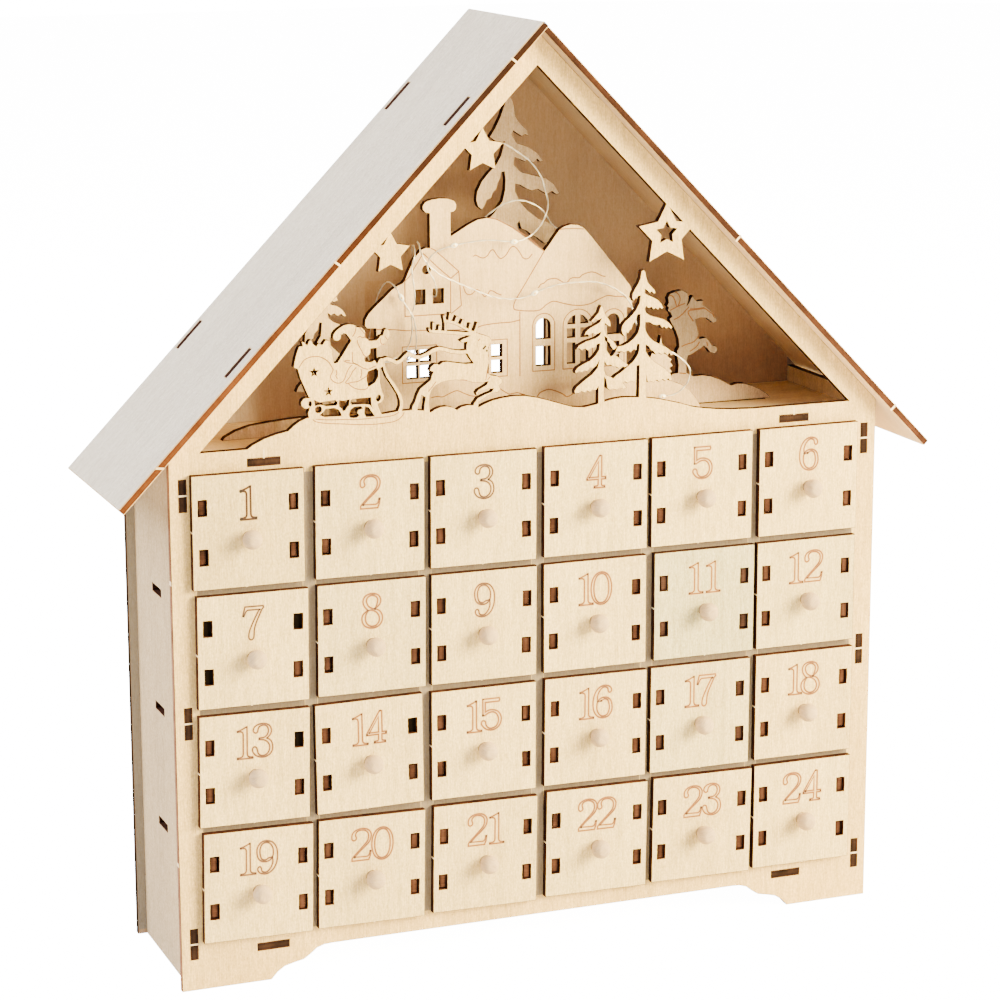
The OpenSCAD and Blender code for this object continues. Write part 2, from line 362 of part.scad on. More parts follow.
module cottage_plate() {
  color("navajowhite") at_frame() sheet_xz(cottage_y) difference() {
    cottage_outline();
    rect(-44.4, -40, 263.4, 269.2);
    rect(-36.8, -32.4, 263.4, 269.2);
    translate([-39.5, 276.9]) circle(r = 1.7, $fn = 24);
    for (x = [-47.8, -42.4, -18.2, -12.4]) for (z = [[234.1, 239.2], [240.6, 245.4]]) rect(x, x + 4.5, z[0], z[1]);
    difference() { arched(6.7, 12.8, 235.6, 254.6); rect(6, 13.5, 243.4, 246.4); }
    difference() { arched(20, 29.2, 235.6, 255.2); rect(23.4, 25.8, 235, 256); rect(19, 30, 243.9, 246.1); rect(19, 30, 249.7, 251.6); }
    difference() { arched(37.4, 42.6, 235.6, 254.6); rect(37, 43, 243.4, 246.4); }
  }
}

// ---------- forest plate ----------
module forest_outline() {
  polygon([[-118.4, 211.4], [-117.6, 212.6], [-113, 214.9], [-107, 216.6], [-100, 217.4], [-92, 218], [-84, 218.4], [-70, 217], [-50, 214], [-38, 213], [0, 213],
           // trunk and lower boughs of the tall fir
           [0.6, 222], [0.8, 250], [-2, 256], [-8, 261], [-13, 264], [-10.5, 268], [-6, 272], [-2, 277], [-0.4, 282], [-5, 280], [-10, 283], [-16, 284],
           [-13.4, 288], [-8, 291.6], [-4, 295.4], [-0.6, 299.8], [0.5, 304], [0.7, 308], [0.3, 311.4], [-0.9, 311.2], [-1.4, 308.6], [-2.6, 306.8],
           [-2.8, 304.8], [-4.6, 303.2], [-5.2, 301], [-7.2, 300.4], [-8, 298], [-9.4, 296.6], [-11, 298], [-11.8, 300.6], [-11.4, 304], [-9.4, 308],
           [-6.4, 311.4], [-3.4, 314.2], [-1.2, 317.8], [0.4, 323.4], [-2, 322.8], [-4, 324], [-6, 325.4], [-3.8, 328.6], [-1.4, 333.2],
           [0.4, 338.2], [1.8, 342], [3.4, 340.6], [4.6, 337.6], [5, 333.4], [7.4, 330], [10.2, 327.4], [10.6, 325.2], [9, 325.8], [7.8, 325], [6, 326.2], [4.2, 327.4],
           [3.6, 326], [5.6, 322.6], [10, 321.2], [14.4, 318.4], [17.2, 314.8], [15.6, 314.6], [14.4, 315.8], [12.8, 314.2], [10.8, 315.6], [9, 315],
           [7, 316], [4.8, 316.8], [4.4, 314], [7.4, 311], [12, 309.7], [17.6, 308.3], [21.6, 305.6], [24.2, 301.6], [22.6, 301.2], [20.8, 302.6],
           [18.6, 301.4], [16.6, 302.6], [14.6, 303.8], [12, 303.2], [9.6, 304.2], [7, 305.8], [5, 306.2], [5, 303.4], [7.2, 299], [10.6, 295.2],
           [14.6, 292.2], [19.4, 290.2], [24.4, 287.4], [22.8, 284.6], [20.4, 283], [17.6, 281.6], [14.4, 284.2], [12.2, 285.2], [10, 287.2],
           [7.6, 288], [6.6, 291.2], [5.8, 290], [7.4, 284], [11, 278], [16, 272], [20, 266], [16, 266.6], [13, 262], [12.4, 250], [12.4, 222], [13.2, 213],
           [44, 213], [60, 216], [69, 219.4], [72.4, 220.8], [72.8, 222.6], [74.6, 224.6], [77, 224.8],
           // child figure
           [77.2, 228], [76.6, 231.6], [76.4, 234], [77.4, 235.6], [77, 239], [75.6, 242.6], [73.8, 245.6], [72.8, 247.6], [74, 248.4], [73.4, 250],
           [72.2, 251], [72.4, 252.4], [71.6, 253], [72.4, 254.4], [72, 256.4], [73, 258], [75.4, 258.8], [78.4, 259.2], [80.8, 258], [81.6, 256],
           [81.2, 254], [80.8, 252.8], [81.6, 253.6], [82.6, 255.8], [83.6, 256.6], [84.2, 255.2], [85.2, 254.2], [88.2, 254.4], [87.6, 252.6],
           [89.6, 251.4], [92, 249.6], [93, 247.2], [94.4, 246.4], [94.2, 244.8], [92.6, 244.6], [91.4, 245.6], [89.8, 246.8], [87.2, 247.2], [84.8, 246.6],
           [85.4, 243.6], [86.4, 240.6], [85.6, 239], [86.6, 238.4], [89.4, 238.8], [91, 237.4], [92.2, 235.4], [94.4, 234.8], [95, 233], [93.6, 231.6],
           [91.4, 232.4], [90, 234.4], [88.6, 235.2], [86.4, 233.8], [84, 232.6], [81.6, 231.6], [80.8, 229], [81, 224.6],
           [84, 222.9], [88, 223.1], [92, 222.4], [96, 220.8], [100, 218.6], [101.6, 217.9], [104.2, 218.5], [107.6, 218.2], [111, 217], [114.4, 215.4],
           [117.6, 213.4], [119.6, 211.4]]);
  for (x = [-62, 50]) rect(x, x + 12, floor_z, floor_top + 0.5);
}
module forest_plate() { color("tan") at_frame() sheet_xz(forest_y) forest_outline(); }

// ---------- drawers ----------
module knob() {
  translate([0, knob_y, -3]) rotate([-90, 0, 0]) {
    difference() {
      sphere(d = knob_d, $fn = 48);
      translate([0, 0, -9.4]) cube([12, 12, 12], center = true);
    }
    cylinder(r = 2.2, h = 4 + ply, $fn = 32);
  }
}
module drawer(n) {
  c = (n - 1) % 6;
  r = floor((n - 1) / 6);
  j = jog[n - 1] * scatter;
  at_frame() translate([col * (c - 2.5) + j[0], -rest_gap, row_z[r] + j[1]]) rotate([0, -j[2], 0]) {
    // front board
    color("bisque") sheet_xz(-ply) difference() {
      rect(-front_w / 2, front_w / 2, -front_h / 2, front_h / 2);
      for (x = [-1, 1]) for (z = [-9.6, 9.6]) rect(x * 18 - 1.5 - gap, x * 18 + 1.5 + gap, z - 2.9 - gap, z + 2.9 + gap);
      translate([0, -3]) circle(r = 2.45, $fn = 32);
    }
    // sides
    for (x = [-1, 1]) color("burlywood") sheet_yz(x * 18 - 1.5) difference() {
      union() {
        rect(gap, tray_d, -tray_lo, tray_hi);
        for (z = [-9.6, 9.6]) rect(-ply + 0.4, 1, z - 2.9, z + 2.9);
      }
      rect(22 - gap, 34 + gap, -tray_lo + 1 - gap, -tray_lo + 1 + ply + gap);
      rect(tray_d - 4.5 - gap, tray_d - 1.5 + gap, -6 - gap, 6 + gap);
    }
    // bottom with a tab on each side
    color("burlywood") translate([0, 0, -tray_lo + 1]) linear_extrude(ply) union() {
      rect(-16.5 + gap, 16.5 - gap, gap, tray_d - 4.5 - gap);
      rect(-19.5, 19.5, 22, 34);
    }
    // back with a tab on each side
    color("burlywood") sheet_xz(tray_d - 4.5) union() {
      rect(-16.5 + gap, 16.5 - gap, -tray_lo + 1, tray_hi);
      rect(-19.5, 19.5, -6, 6);
    }
    color("antiquewhite") knob();
  }
}

// ---------- light: battery box behind the cottage, string with beads ----------
box_x = 23;            // half length of the battery box
box_y0 = 41.5;
box_y1 = 66;
box_z0 = floor_top;
box_z1 = 221.4;
wall_t = 1.2;
module battery_box() {
  color("white") at_frame() difference() {
    translate([-box_x, box_y0, box_z0]) cube([2 * box_x, box_y1 - box_y0, box_z1 - box_z0]);
    translate([-box_x + wall_t, box_y0 + wall_t, box_z0 + wall_t]) cube([2 * box_x - 2 * wall_t, box_y1 - box_y0 - 2 * wall_t, box_z1]);
    // slot of the switch in the rear wall
    translate([-5, box_y1 - 2, box_z0 + 4]) cube([10, 4, 3]);
    // wire outlet in the front wall
    translate([-15, box_y0 - 1, box_z0 + 7]) rotate([-90, 0, 0]) cylinder(r = 0.7, h = 4, $fn = 24);
    // grooves that guide the cover, open at the right-hand end
    translate([-box_x + wall_t, box_y0 + 0.6, box_z1 - 2]) cube([2 * box_x, box_y1 - box_y0 - 1.2, 1.3]);
    translate([box_x - wall_t - 1, box_y0 + wall_t, box_z1 - 2]) cube([wall_t + 3, box_y1 - box_y0 - 2 * wall_t, 3]);
  }
}
module battery_cover() {
  color("white") at_frame() {
    difference() {
      union() {
        translate([-box_x + wall_t + 0.2, box_y0 + 0.8, box_z1 - 1.8]) cube([2 * box_x - wall_t - 0.2, box_y1 - box_y0 - 1.6, 0.9]);
        translate([-box_x + wall_t + 0.2, box_y0 + wall_t + 0.2, box_z1 - 1]) cube([2 * box_x - wall_t - 0.2, box_y1 - box_y0 - 2 * wall_t - 0.4, 1]);
      }
      for (i = [0:3]) translate([10 + 2 * i, box_y0 + 7, box_z1 - 0.4]) cube([1, 10, 1]);
    }
  }
}
module switch_slider() {
  color("dimgray") at_frame() {
    translate([-4, box_y1 - 2.4, box_z0 + 3.1]) cube([6, 1, 4.8]);
    translate([-2, box_y1 - 1.5, box_z0 + 4.4]) cube([2, 2.9, 2.2]);
  }
}
module button_cells() {
  color("silver") at_frame() for (x = [-11, 11])
    translate([x, 53, box_z0 + 2.2]) { cylinder(r = 10, h = 2.6, $fn = 48); translate([0, 0, 2.6]) cylinder(r = 8.8, h = 0.6, $fn = 48); }
}
module contact_springs() {
  color("gold") at_frame() {
    for (x = [-11, 11]) translate([x - 2, 46, box_z0 + wall_t]) cube([4, 14, 0.9]);
    translate([-13, 50, box_z0 + 5.5]) cube([26, 5, 0.5]);
    translate([-21.5, 43, box_z0 + wall_t]) cube([2, 2, 5]);
  }
}

// route of the light string: round points chosen by hand, in the house's own depth
string_p = [
  [-15, 41.3, 218.4], [-15, 39.9, 219.5], [-18, 41, 226], [-22, 43, 240], [-24, 43, 262], [-22, 42.4, 280],
  [-20, 37.6, 287], [-17, 30, 288.6], [-13, 27, 293.6], [-9.4, 26.4, 296.7], [-3, 26, 300.3], [3.4, 26, 301], [9.8, 26, 298.7], [14.1, 27, 295], [18, 29.6, 290.3],
  [22.6, 33, 287.8], [27.5, 37.6, 287.4], [27, 42, 283], [22, 43, 277], [14, 43.6, 275], [6.6, 44, 279], [4.6, 44, 290], [4.8, 44, 300], [4.6, 44, 306], [4.4, 44, 312],
  [3.6, 43.4, 317], [0, 42, 321], [-6, 40.6, 322.6], [-10, 37.5, 322.4], [-9, 33.4, 323.2], [-5, 31, 323.8],
  [-1.6, 30, 323], [4.6, 30, 319], [8.9, 30, 315.8], [13.1, 29.5, 310.1], [14.8, 28.5, 304.1], [15, 26, 298.4], [11, 22, 292.4],
  [5.2, 17.4, 288.8], [1.5, 15.6, 287.4], [-1, 14.8, 286.8], [-4.4, 14.2, 286.5], [-13, 14.6, 287.5], [-18.2, 14.8, 287.6], [-23.4, 15, 287.1],
  [-29.2, 15, 286.3], [-33.8, 15, 285.2], [-37, 15.2, 283.8], [-39, 15.4, 281.8], [-39.9, 15.6, 279.2], [-39.6, 15.4, 276.8], [-38.1, 15.2, 274.4],
  [-36.9, 15.4, 271.8], [-36, 16.2, 268.4], [-35.4, 19.5, 266], [-36, 24, 266.4], [-39, 26, 272], [-42, 26, 280], [-43.8, 22.5, 285.8],
  [-44.2, 18.5, 285.8], [-45.4, 15.2, 282.4], [-46.5, 15, 279.4], [-46.5, 14.8, 275.7], [-45.7, 14.8, 269.7], [-45.7, 15, 263.8], [-46.8, 15.2, 259.6],
  [-46.5, 15.4, 255], [-47.2, 15.4, 250.1], [-49.8, 15.2, 245.3], [-54, 15.2, 242.4], [-61.4, 16, 242.2],
  [-63.6, 19.5, 243.6], [-61, 25, 250], [-58.6, 26, 260], [-57, 24.4, 268], [-55.4, 19.5, 272.8], [-53.2, 15.6, 271.2],
  [-51.1, 15, 267.1], [-48.2, 14.2, 262], [-46.4, 13.9, 258.6], [-45.4, 14.1, 253], [-45.1, 15.4, 246.6], [-45.3, 19.5, 243], [-45.6, 24, 240.6],
  [-42, 28.5, 246], [-38, 29, 262], [-37.6, 28.5, 278], [-39.6, 25, 284.6], [-41.6, 22.6, 287.4], [-42.4, 18.6, 287.2],
  [-42.8, 15.4, 284.6], [-41.6, 14.4, 281.6], [-39.7, 13.8, 278.8], [-36.6, 13.8, 276.2], [-33.9, 14, 274.4], [-25.6, 14.6, 270.5],
  [-17.3, 14.4, 266.8], [-12, 14.3, 264.9], [-5.7, 14.2, 263.9], [0.7, 14.3, 264.3], [7.1, 14.4, 266.6], [15.6, 14.5, 268.5], [24.2, 14.6, 268.8],
  [30.7, 14.8, 268.4], [37.2, 14.8, 266.3], [42.6, 14.8, 262.9], [45.9, 14.8, 259.2], [47.1, 14.6, 255.6], [48.6, 14, 250], [52, 13.4, 245],
  [58, 12.8, 241.4], [65.6, 12.6, 236.9], [69.4, 12.4, 233.6], [71.2, 12.4, 231.3], [71.6, 12.4, 228.8], [70.4, 12.2, 225.6], [68.5, 12.2, 223.3], [64.7, 12.2, 221], [59.1, 12.2, 220.4]];
string_r = 0.45;
function rot_frame(t) = let (u = abs(t[2]) < 0.9 ? [0, 0, 1] : [1, 0, 0], a = cross(t, u), a1 = a / norm(a), b = cross(t, a1)) [a1, b];
function tangent(p, i) = let (d = p[min(i + 1, len(p) - 1)] - p[max(i - 1, 0)]) d / norm(d);
module tube(p, r, n = 8) {
  m = len(p);
  pts = [for (i = [0:m - 1]) let (f = rot_frame(tangent(p, i))) for (k = [0:n - 1]) p[i] + r * (cos(360 * k / n) * f[0] + sin(360 * k / n) * f[1])];
  faces = concat(
    [for (i = [0:m - 2]) for (k = [0:n - 1]) [i * n + k, (i + 1) * n + k, (i + 1) * n + (k + 1) % n]],
    [for (i = [0:m - 2]) for (k = [0:n - 1]) [i * n + k, (i + 1) * n + (k + 1) % n, i * n + (k + 1) % n]],
    [[for (k = [0:n - 1]) k]], [[for (k = [n - 1:-1:0]) (m - 1) * n + k]]);
  polyhedron(points = pts, faces = faces, convexity = 10);
}
module light_string() { color("silver") at_frame() tube(string_p, string_r); }

// beads sit on the wire every 100 mm or so, as clear drops beside it
bead_at = [[-21.8, 43, 251], [14, 43.6, 276.6], [-4.4, 14.2, 287.9], [-29, 15, 287.7], [-50, 15, 267.7], [-54.6, 15.2, 243.7], [-59.9, 26, 260.2], [4.6, 14.4, 267.1],
  [53.2, 13.4, 245.8], [59.8, 12.2, 221.7]];
module led_beads() {
  color("lightyellow") at_frame() for (p = bead_at) translate(p) sphere(r = 0.7, $fn = 12);
}

front_panel();
back_panel();
side_wall_left();
side_wall_right();
roof_panel_left();
roof_panel_right();
base_board();
scene_floor();
shelf_lower();
shelf_middle();
shelf_upper();
divider_1();
divider_2();
divider_3();
divider_4();
divider_5();
base_runners();
cottage_plate();
forest_plate();
battery_box();
battery_cover();
switch_slider();
button_cells();
contact_springs();
light_string();
led_beads();
drawer(1);  // drawer_01
drawer(2);  // drawer_02
drawer(3);  // drawer_03
drawer(4);  // drawer_04
drawer(5);  // drawer_05
drawer(6);  // drawer_06
drawer(7);  // drawer_07
drawer(8);  // drawer_08
drawer(9);  // drawer_09
drawer(10);  // drawer_10
drawer(11);  // drawer_11
drawer(12);  // drawer_12
drawer(13);  // drawer_13
drawer(14);  // drawer_14
drawer(15);  // drawer_15
drawer(16);  // drawer_16
drawer(17);  // drawer_17
drawer(18);  // drawer_18
drawer(19);  // drawer_19
drawer(20);  // drawer_20
drawer(21);  // drawer_21
drawer(22);  // drawer_22
drawer(23);  // drawer_23
drawer(24);  // drawer_24
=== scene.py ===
import bpy, bmesh, math, random
from mathutils import Vector, Matrix


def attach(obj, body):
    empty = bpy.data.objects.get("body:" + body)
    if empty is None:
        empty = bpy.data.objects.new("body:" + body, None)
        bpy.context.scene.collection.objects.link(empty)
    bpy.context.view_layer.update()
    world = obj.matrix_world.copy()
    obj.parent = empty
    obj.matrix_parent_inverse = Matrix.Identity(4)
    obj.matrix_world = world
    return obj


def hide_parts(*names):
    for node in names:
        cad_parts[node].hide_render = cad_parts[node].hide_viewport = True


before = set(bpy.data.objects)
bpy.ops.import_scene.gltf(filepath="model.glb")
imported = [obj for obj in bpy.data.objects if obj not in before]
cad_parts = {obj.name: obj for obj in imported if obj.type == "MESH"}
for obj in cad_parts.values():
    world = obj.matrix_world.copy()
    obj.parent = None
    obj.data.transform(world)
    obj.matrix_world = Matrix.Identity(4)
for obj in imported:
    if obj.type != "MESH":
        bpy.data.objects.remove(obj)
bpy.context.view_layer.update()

MM = 0.001
YM = round(-1000 * min(v.co.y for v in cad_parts["front_panel"].data.vertices), 3)   # the facade's front face lies at y = -YM (mm)
scene = bpy.context.scene
rng = random.Random(24)


# ------------------------------------------------------------------ camera
def make_camera():
    az, el, roll = (math.radians(a) for a in (-21.259, 12.922, -0.158))
    target = Vector((-15.962, -YM, 186.591))
    back = Vector((math.sin(az) * math.cos(el), -math.cos(az) * math.cos(el), math.sin(el)))
    pos = target + back * 1201.624
    fw = -back
    right = fw.cross(Vector((0, 0, 1))).normalized()
    up = right.cross(fw)
    r2 = right * math.cos(roll) + up * math.sin(roll)
    u2 = -right * math.sin(roll) + up * math.cos(roll)
    cam = bpy.data.cameras.new("camera")
    cam.sensor_width = 36
    cam.sensor_fit = 'HORIZONTAL'
    cam.lens = 3050.374 / 1000 * 36
    cam.clip_start, cam.clip_end = 0.05, 20
    ob = bpy.data.objects.new("camera", cam)
    m = Matrix((r2, u2, back)).transposed().to_4x4()
    m.translation = pos * MM
    ob.matrix_world = m
    scene.collection.objects.link(ob)
    scene.camera = ob


make_camera()


# ------------------------------------------------------------------ materials
def new_mat(name):
    m = bpy.data.materials.new(name)
    m.use_nodes = True
    nt = m.node_tree
    for n in list(nt.nodes):
        nt.nodes.remove(n)
    out = nt.nodes.new("ShaderNodeOutputMaterial")
    b = nt.nodes.new("ShaderNodeBsdfPrincipled")
    nt.links.new(b.outputs[0], out.inputs[0])
    return m, nt, b


class N:
    """Small helper for building node graphs."""

    def __init__(self, nt):
        self.nt = nt

    def node(self, kind, **props):
        n = self.nt.nodes.new(kind)
        for k, v in props.items():
            setattr(n, k, v)
        return n

    def link(self, a, b):
        self.nt.links.new(a, b)

    def put(self, sock, val):
        if hasattr(val, "is_linked") or isinstance(val, bpy.types.NodeSocket):
            self.nt.links.new(val, sock)
        else:
            sock.default_value = val

    def attr(self, name):
        return self.node("ShaderNodeAttribute", attribute_name=name)

    def vmul(self, a, b):
        n = self.node("ShaderNodeVectorMath", operation='MULTIPLY')
        self.put(n.inputs[0], a)
        self.put(n.inputs[1], b)
        return n.outputs[0]

    def vadd(self, a, b):
        n = self.node("ShaderNodeVectorMath", operation='ADD')
        self.put(n.inputs[0], a)
        self.put(n.inputs[1], b)
        return n.outputs[0]

    def math(self, op, a, b=0.0, clamp=False):
        n = self.node("ShaderNodeMath", operation=op, use_clamp=clamp)
        self.put(n.inputs[0], a)
        self.put(n.inputs[1], b)
        return n.outputs[0]

    def noise(self, vec, scale=1.0, detail=3.0, rough=0.5, dist=0.0):
        n = self.node("ShaderNodeTexNoise")
        self.put(n.inputs["Vector"], vec)
        n.inputs["Scale"].default_value = scale
        n.inputs["Detail"].default_value = detail
        n.inputs["Roughness"].default_value = rough
        n.inputs["Distortion"].default_value = dist
        return n.outputs[0]

    def ramp(self, fac, stops, interp='LINEAR'):
        n = self.node("ShaderNodeValToRGB")
        self.put(n.inputs[0], fac)
        cr = n.color_ramp
        cr.interpolation = interp
        while len(cr.elements) < len(stops):
            cr.elements.new(0.5)
        for e, (p, c) in zip(cr.elements, stops):
            e.position = p
            e.color = (c[0], c[1], c[2], 1) if len(c) == 3 else c
        return n.outputs[0]

    def mix(self, kind, fac, a, b):
        n = self.node("ShaderNodeMix", data_type='RGBA', blend_type=kind)
        self.put(n.inputs[0], fac)
        self.put(n.inputs[6], a)
        self.put(n.inputs[7], b)
        return n.outputs[2]

    def remap(self, v, a0, a1, b0, b1, clamp=True):
        n = self.node("ShaderNodeMapRange", clamp=clamp)
        self.put(n.inputs[0], v)
        for i, x in enumerate((a0, a1, b0, b1)):
            n.inputs[i + 1].default_value = x
        return n.outputs[0]

    def bump(self, height, strength, dist, bsdf):
        n = self.node("ShaderNodeBump")
        n.inputs["Strength"].default_value = strength
        n.inputs["Distance"].default_value = dist
        self.put(n.inputs["Height"], height)
        self.link(n.outputs[0], bsdf.inputs["Normal"])


def lin(c):
    """sRGB 0-255 to linear."""
    out = []
    for x in c:
        x = x / 255
        out.append(x / 12.92 if x <= 0.04045 else ((x + 0.055) / 1.055) ** 2.4)
    return tuple(out)


def veneer(name, dark, mid, light, contrast=1.0, rough=0.78):
    """Pale rotary-cut veneer. gc = (along the grain, across it, through the sheet) in mm, tn = tint."""
    m, nt, b = new_mat(name)
    g = N(nt)
    gc = g.attr("gc").outputs["Vector"]
    tn = g.attr("tn").outputs["Color"]
    # broad cloudy bands along the grain
    cloud = g.noise(g.vmul(gc, (0.010, 0.045, 0.05)), 1.0, 3.0, 0.55, 0.6)
    band = g.noise(g.vmul(gc, (0.012, 0.32, 0.1)), 1.0, 3.0, 0.6, 0.8)
    # fine fibre and short pores
    fibre = g.noise(g.vmul(gc, (0.22, 3.2, 0.4)), 1.0, 4.0, 0.62, 0.15)
    pore = g.noise(g.vmul(gc, (0.45, 5.5, 0.6)), 1.0, 2.0, 0.5)
    fleck = g.noise(g.vmul(gc, (1.1, 1.5, 0.5)), 1.0, 3.0, 0.6)
    mixv = g.math('ADD', g.math('MULTIPLY', cloud, 0.50), g.math('MULTIPLY', band, 0.50))
    col = g.ramp(mixv, [(0.34, dark), (0.50, mid), (0.66, light)])
    f1 = g.remap(fibre, 0.30, 0.72, 1.0 - 0.075 * contrast, 1.0 + 0.045 * contrast)
    f2 = g.remap(pore, 0.60, 0.78, 1.0, 1.0 - 0.13 * contrast)
    f3 = g.remap(fleck, 0.3, 0.7, 1.0 - 0.058 * contrast, 1.0 + 0.040 * contrast)
    f = g.math('MULTIPLY', g.math('MULTIPLY', f1, f2), f3)
    comb = g.node("ShaderNodeCombineXYZ")
    g.link(f, comb.inputs[0])
    g.link(g.math('POWER', f, 1.15), comb.inputs[1])
    g.link(g.math('POWER', f, 1.45), comb.inputs[2])
    col = g.mix('MULTIPLY', 1.0, col, comb.outputs[0])
    col = g.mix('MULTIPLY', 1.0, col, tn)
    g.link(col, b.inputs["Base Color"])
    g.link(g.remap(fibre, 0.3, 0.7, rough + 0.08, rough - 0.05), b.inputs["Roughness"])
    b.inputs["Specular IOR Level"].default_value = 0.28
    g.bump(g.math('ADD', g.math('MULTIPLY', fibre, 0.6), g.math('MULTIPLY', pore, 0.4)), 0.35, 0.00012, b)
    return m


def burnt(name, dark, mid, light, core=0.35, run=None):
    """Laser-cut edge: char with fine striations through the sheet, browner where the beam passed fast."""
    m, nt, b = new_mat(name)
    g = N(nt)
    gc = g.attr("gc").outputs["Vector"]
    tn = g.attr("tn").outputs["Color"]
    big = g.noise(g.vmul(gc, (0.10, 0.10, 0.12)), 1.0, 3.0, 0.6)
    stria = g.noise(g.vmul(gc, (5.0, 5.0, 0.25)), 1.0, 3.0, 0.6)
    sep = g.node("ShaderNodeSeparateXYZ")
    g.link(gc, sep.inputs[0])
    zabs = g.math('ABSOLUTE', sep.outputs[2])
    ply = g.remap(zabs, 0.42, 0.60, core, 0.0)
    v = g.math('ADD', g.math('MULTIPLY', big, 0.60), g.math('MULTIPLY', stria, 0.40))
    v = g.math('ADD', v, g.math('MULTIPLY', ply, 0.22))
    col = g.ramp(v, [(0.34, dark), (0.52, mid), (0.72, light)])
    if run:
        # darker towards the upper end, where the beam went slowly
        w = g.noise(g.vmul(gc, (0.05, 0.05, 0.05)), 1.0, 2.0, 0.5)
        along = g.math('ADD', g.remap(sep.outputs[0], run[0], run[1], 0.0, 1.0), g.math('MULTIPLY', g.math('SUBTRACT', w, 0.5), 0.35))
        col = g.mix('MULTIPLY', 1.0, col, g.ramp(along, [(0.22, (1.0, 1.0, 1.0)), (0.50, (0.55, 0.52, 0.60)), (0.78, (0.22, 0.25, 0.45))]))
    col = g.mix('MULTIPLY', 1.0, col, tn)
    g.link(col, b.inputs["Base Color"])
    b.inputs["Roughness"].default_value = 0.9
    b.inputs["Specular IOR Level"].default_value = 0.06
    g.bump(stria, 0.4, 0.0001, b)
    return m


def plain(name, col, rough=0.6, metal=0.0, spec=0.5, var=0.0, scale=800.0, bump=0.0):
    m, nt, b = new_mat(name)
    g = N(nt)
    tc = g.node("ShaderNodeTexCoord").outputs["Object"]
    nz = g.noise(tc, scale, 3.0, 0.6)
    k = g.remap(nz, 0.3, 0.7, 1.0 - var, 1.0 + var)
    comb = g.node("ShaderNodeCombineXYZ")
    for i in range(3):
        g.link(k, comb.inputs[i])
    g.link(g.mix('MULTIPLY', 1.0, (col[0], col[1], col[2], 1), comb.outputs[0]), b.inputs["Base Color"])
    b.inputs["Roughness"].default_value = rough
    b.inputs["Metallic"].default_value = metal
    b.inputs["Specular IOR Level"].default_value = spec
    if bump:
        g.bump(nz, 0.4, bump, b)
    return m


def shade(c, k):
    return tuple(x * k for x in c)


def family(c, lo=0.86, hi=1.10):
    return shade(c, lo), c, tuple(min(0.95, x * hi) for x in c)


M_FACE = veneer("veneer_facade", *family((0.715, 0.515, 0.225)), 3.6)
M_FRONT = veneer("veneer_fronts", *family((0.715, 0.570, 0.300)), 3.6)
M_ROOF = veneer("veneer_roof", *family((0.65, 0.570, 0.47), 0.90, 1.06), 3.2)
M_WALL = veneer("veneer_wall", *family((0.51, 0.375, 0.225), 0.90, 1.06), 4.0)
# Painted shade: a darker, browner copy of the veneer for the wood inside the house, standing for its shade and warm
# bounce light.
M_IN_SHADED = veneer("veneer_inside_painted_shade", *family((0.41, 0.275, 0.170), 0.93, 1.05), 1.6)
# Painted shade: the roofs' undersides in a veneer darker than the facade's, for the shade under the roof.
M_UNDER_SHADED = veneer("veneer_underside_painted_shade", *family((0.60, 0.440, 0.270), 0.93, 1.05), 1.6)
# Painted shade: dark veneer for the facade strips between the drawer fronts and, darker still, under them.
M_GAP_SHADE = veneer("painted_shade_between_drawers", *family((0.275, 0.217, 0.160), 0.93, 1.05), 2.0)
M_GAP_SHADE_UNDER = veneer("painted_shade_under_fronts", *family((0.200, 0.155, 0.120), 0.93, 1.05), 2.0)
M_SCENE = veneer("veneer_scene", *family((0.68, 0.490, 0.265)), 2.4)
# Painted shade: the forest plate's veneer is darker than the cottage plate's, for the shade it stands in.
M_FOREST_SHADED = veneer("veneer_forest_painted_shade", *family((0.60, 0.435, 0.270)), 2.6)
M_EDGE = burnt("burnt_edge", (0.009, 0.003, 0.002), (0.020, 0.006, 0.003), (0.042, 0.012, 0.006))
M_FRONT_EDGE = burnt("front_edge", (0.012, 0.004, 0.003), (0.028, 0.009, 0.006), (0.066, 0.023, 0.014))
M_RIM = burnt("scorched_rim", (0.032, 0.010, 0.006), (0.080, 0.027, 0.013), (0.165, 0.062, 0.027))
M_RIM_ROOF = burnt("roof_rim", (0.34, 0.190, 0.085), (0.56, 0.380, 0.200), (0.70, 0.520, 0.320))
# Painted shade: a grey, dark veneer for the back panel's margin outside the left wall.
M_STRIP_SHADE = veneer("painted_shade_back_edge", *family((0.25, 0.215, 0.170), 0.92, 1.06), 1.6)
M_HALO = plain("engraving_halo", (0.560, 0.345, 0.140), 0.9, var=0.12, scale=500)
M_EDGE_PALE = burnt("burnt_edge_light", (0.080, 0.034, 0.020), (0.190, 0.085, 0.050), (0.300, 0.150, 0.095), 0.5)
M_EDGE_ROOF = burnt("burnt_edge_roof", (0.045, 0.013, 0.004), (0.085, 0.026, 0.008), (0.135, 0.046, 0.014), 0.3, (22.0, 268.0))
M_EDGE_DARK = burnt("burnt_edge_roof_right", (0.016, 0.007, 0.005), (0.040, 0.015, 0.009), (0.075, 0.028, 0.014), 0.3)
M_TAB = burnt("tab_end", (0.016, 0.008, 0.006), (0.046, 0.019, 0.013), (0.095, 0.042, 0.028), 0.3)
M_END = burnt("board_end", (0.005, 0.003, 0.002), (0.016, 0.008, 0.006), (0.040, 0.020, 0.014), 0.3)
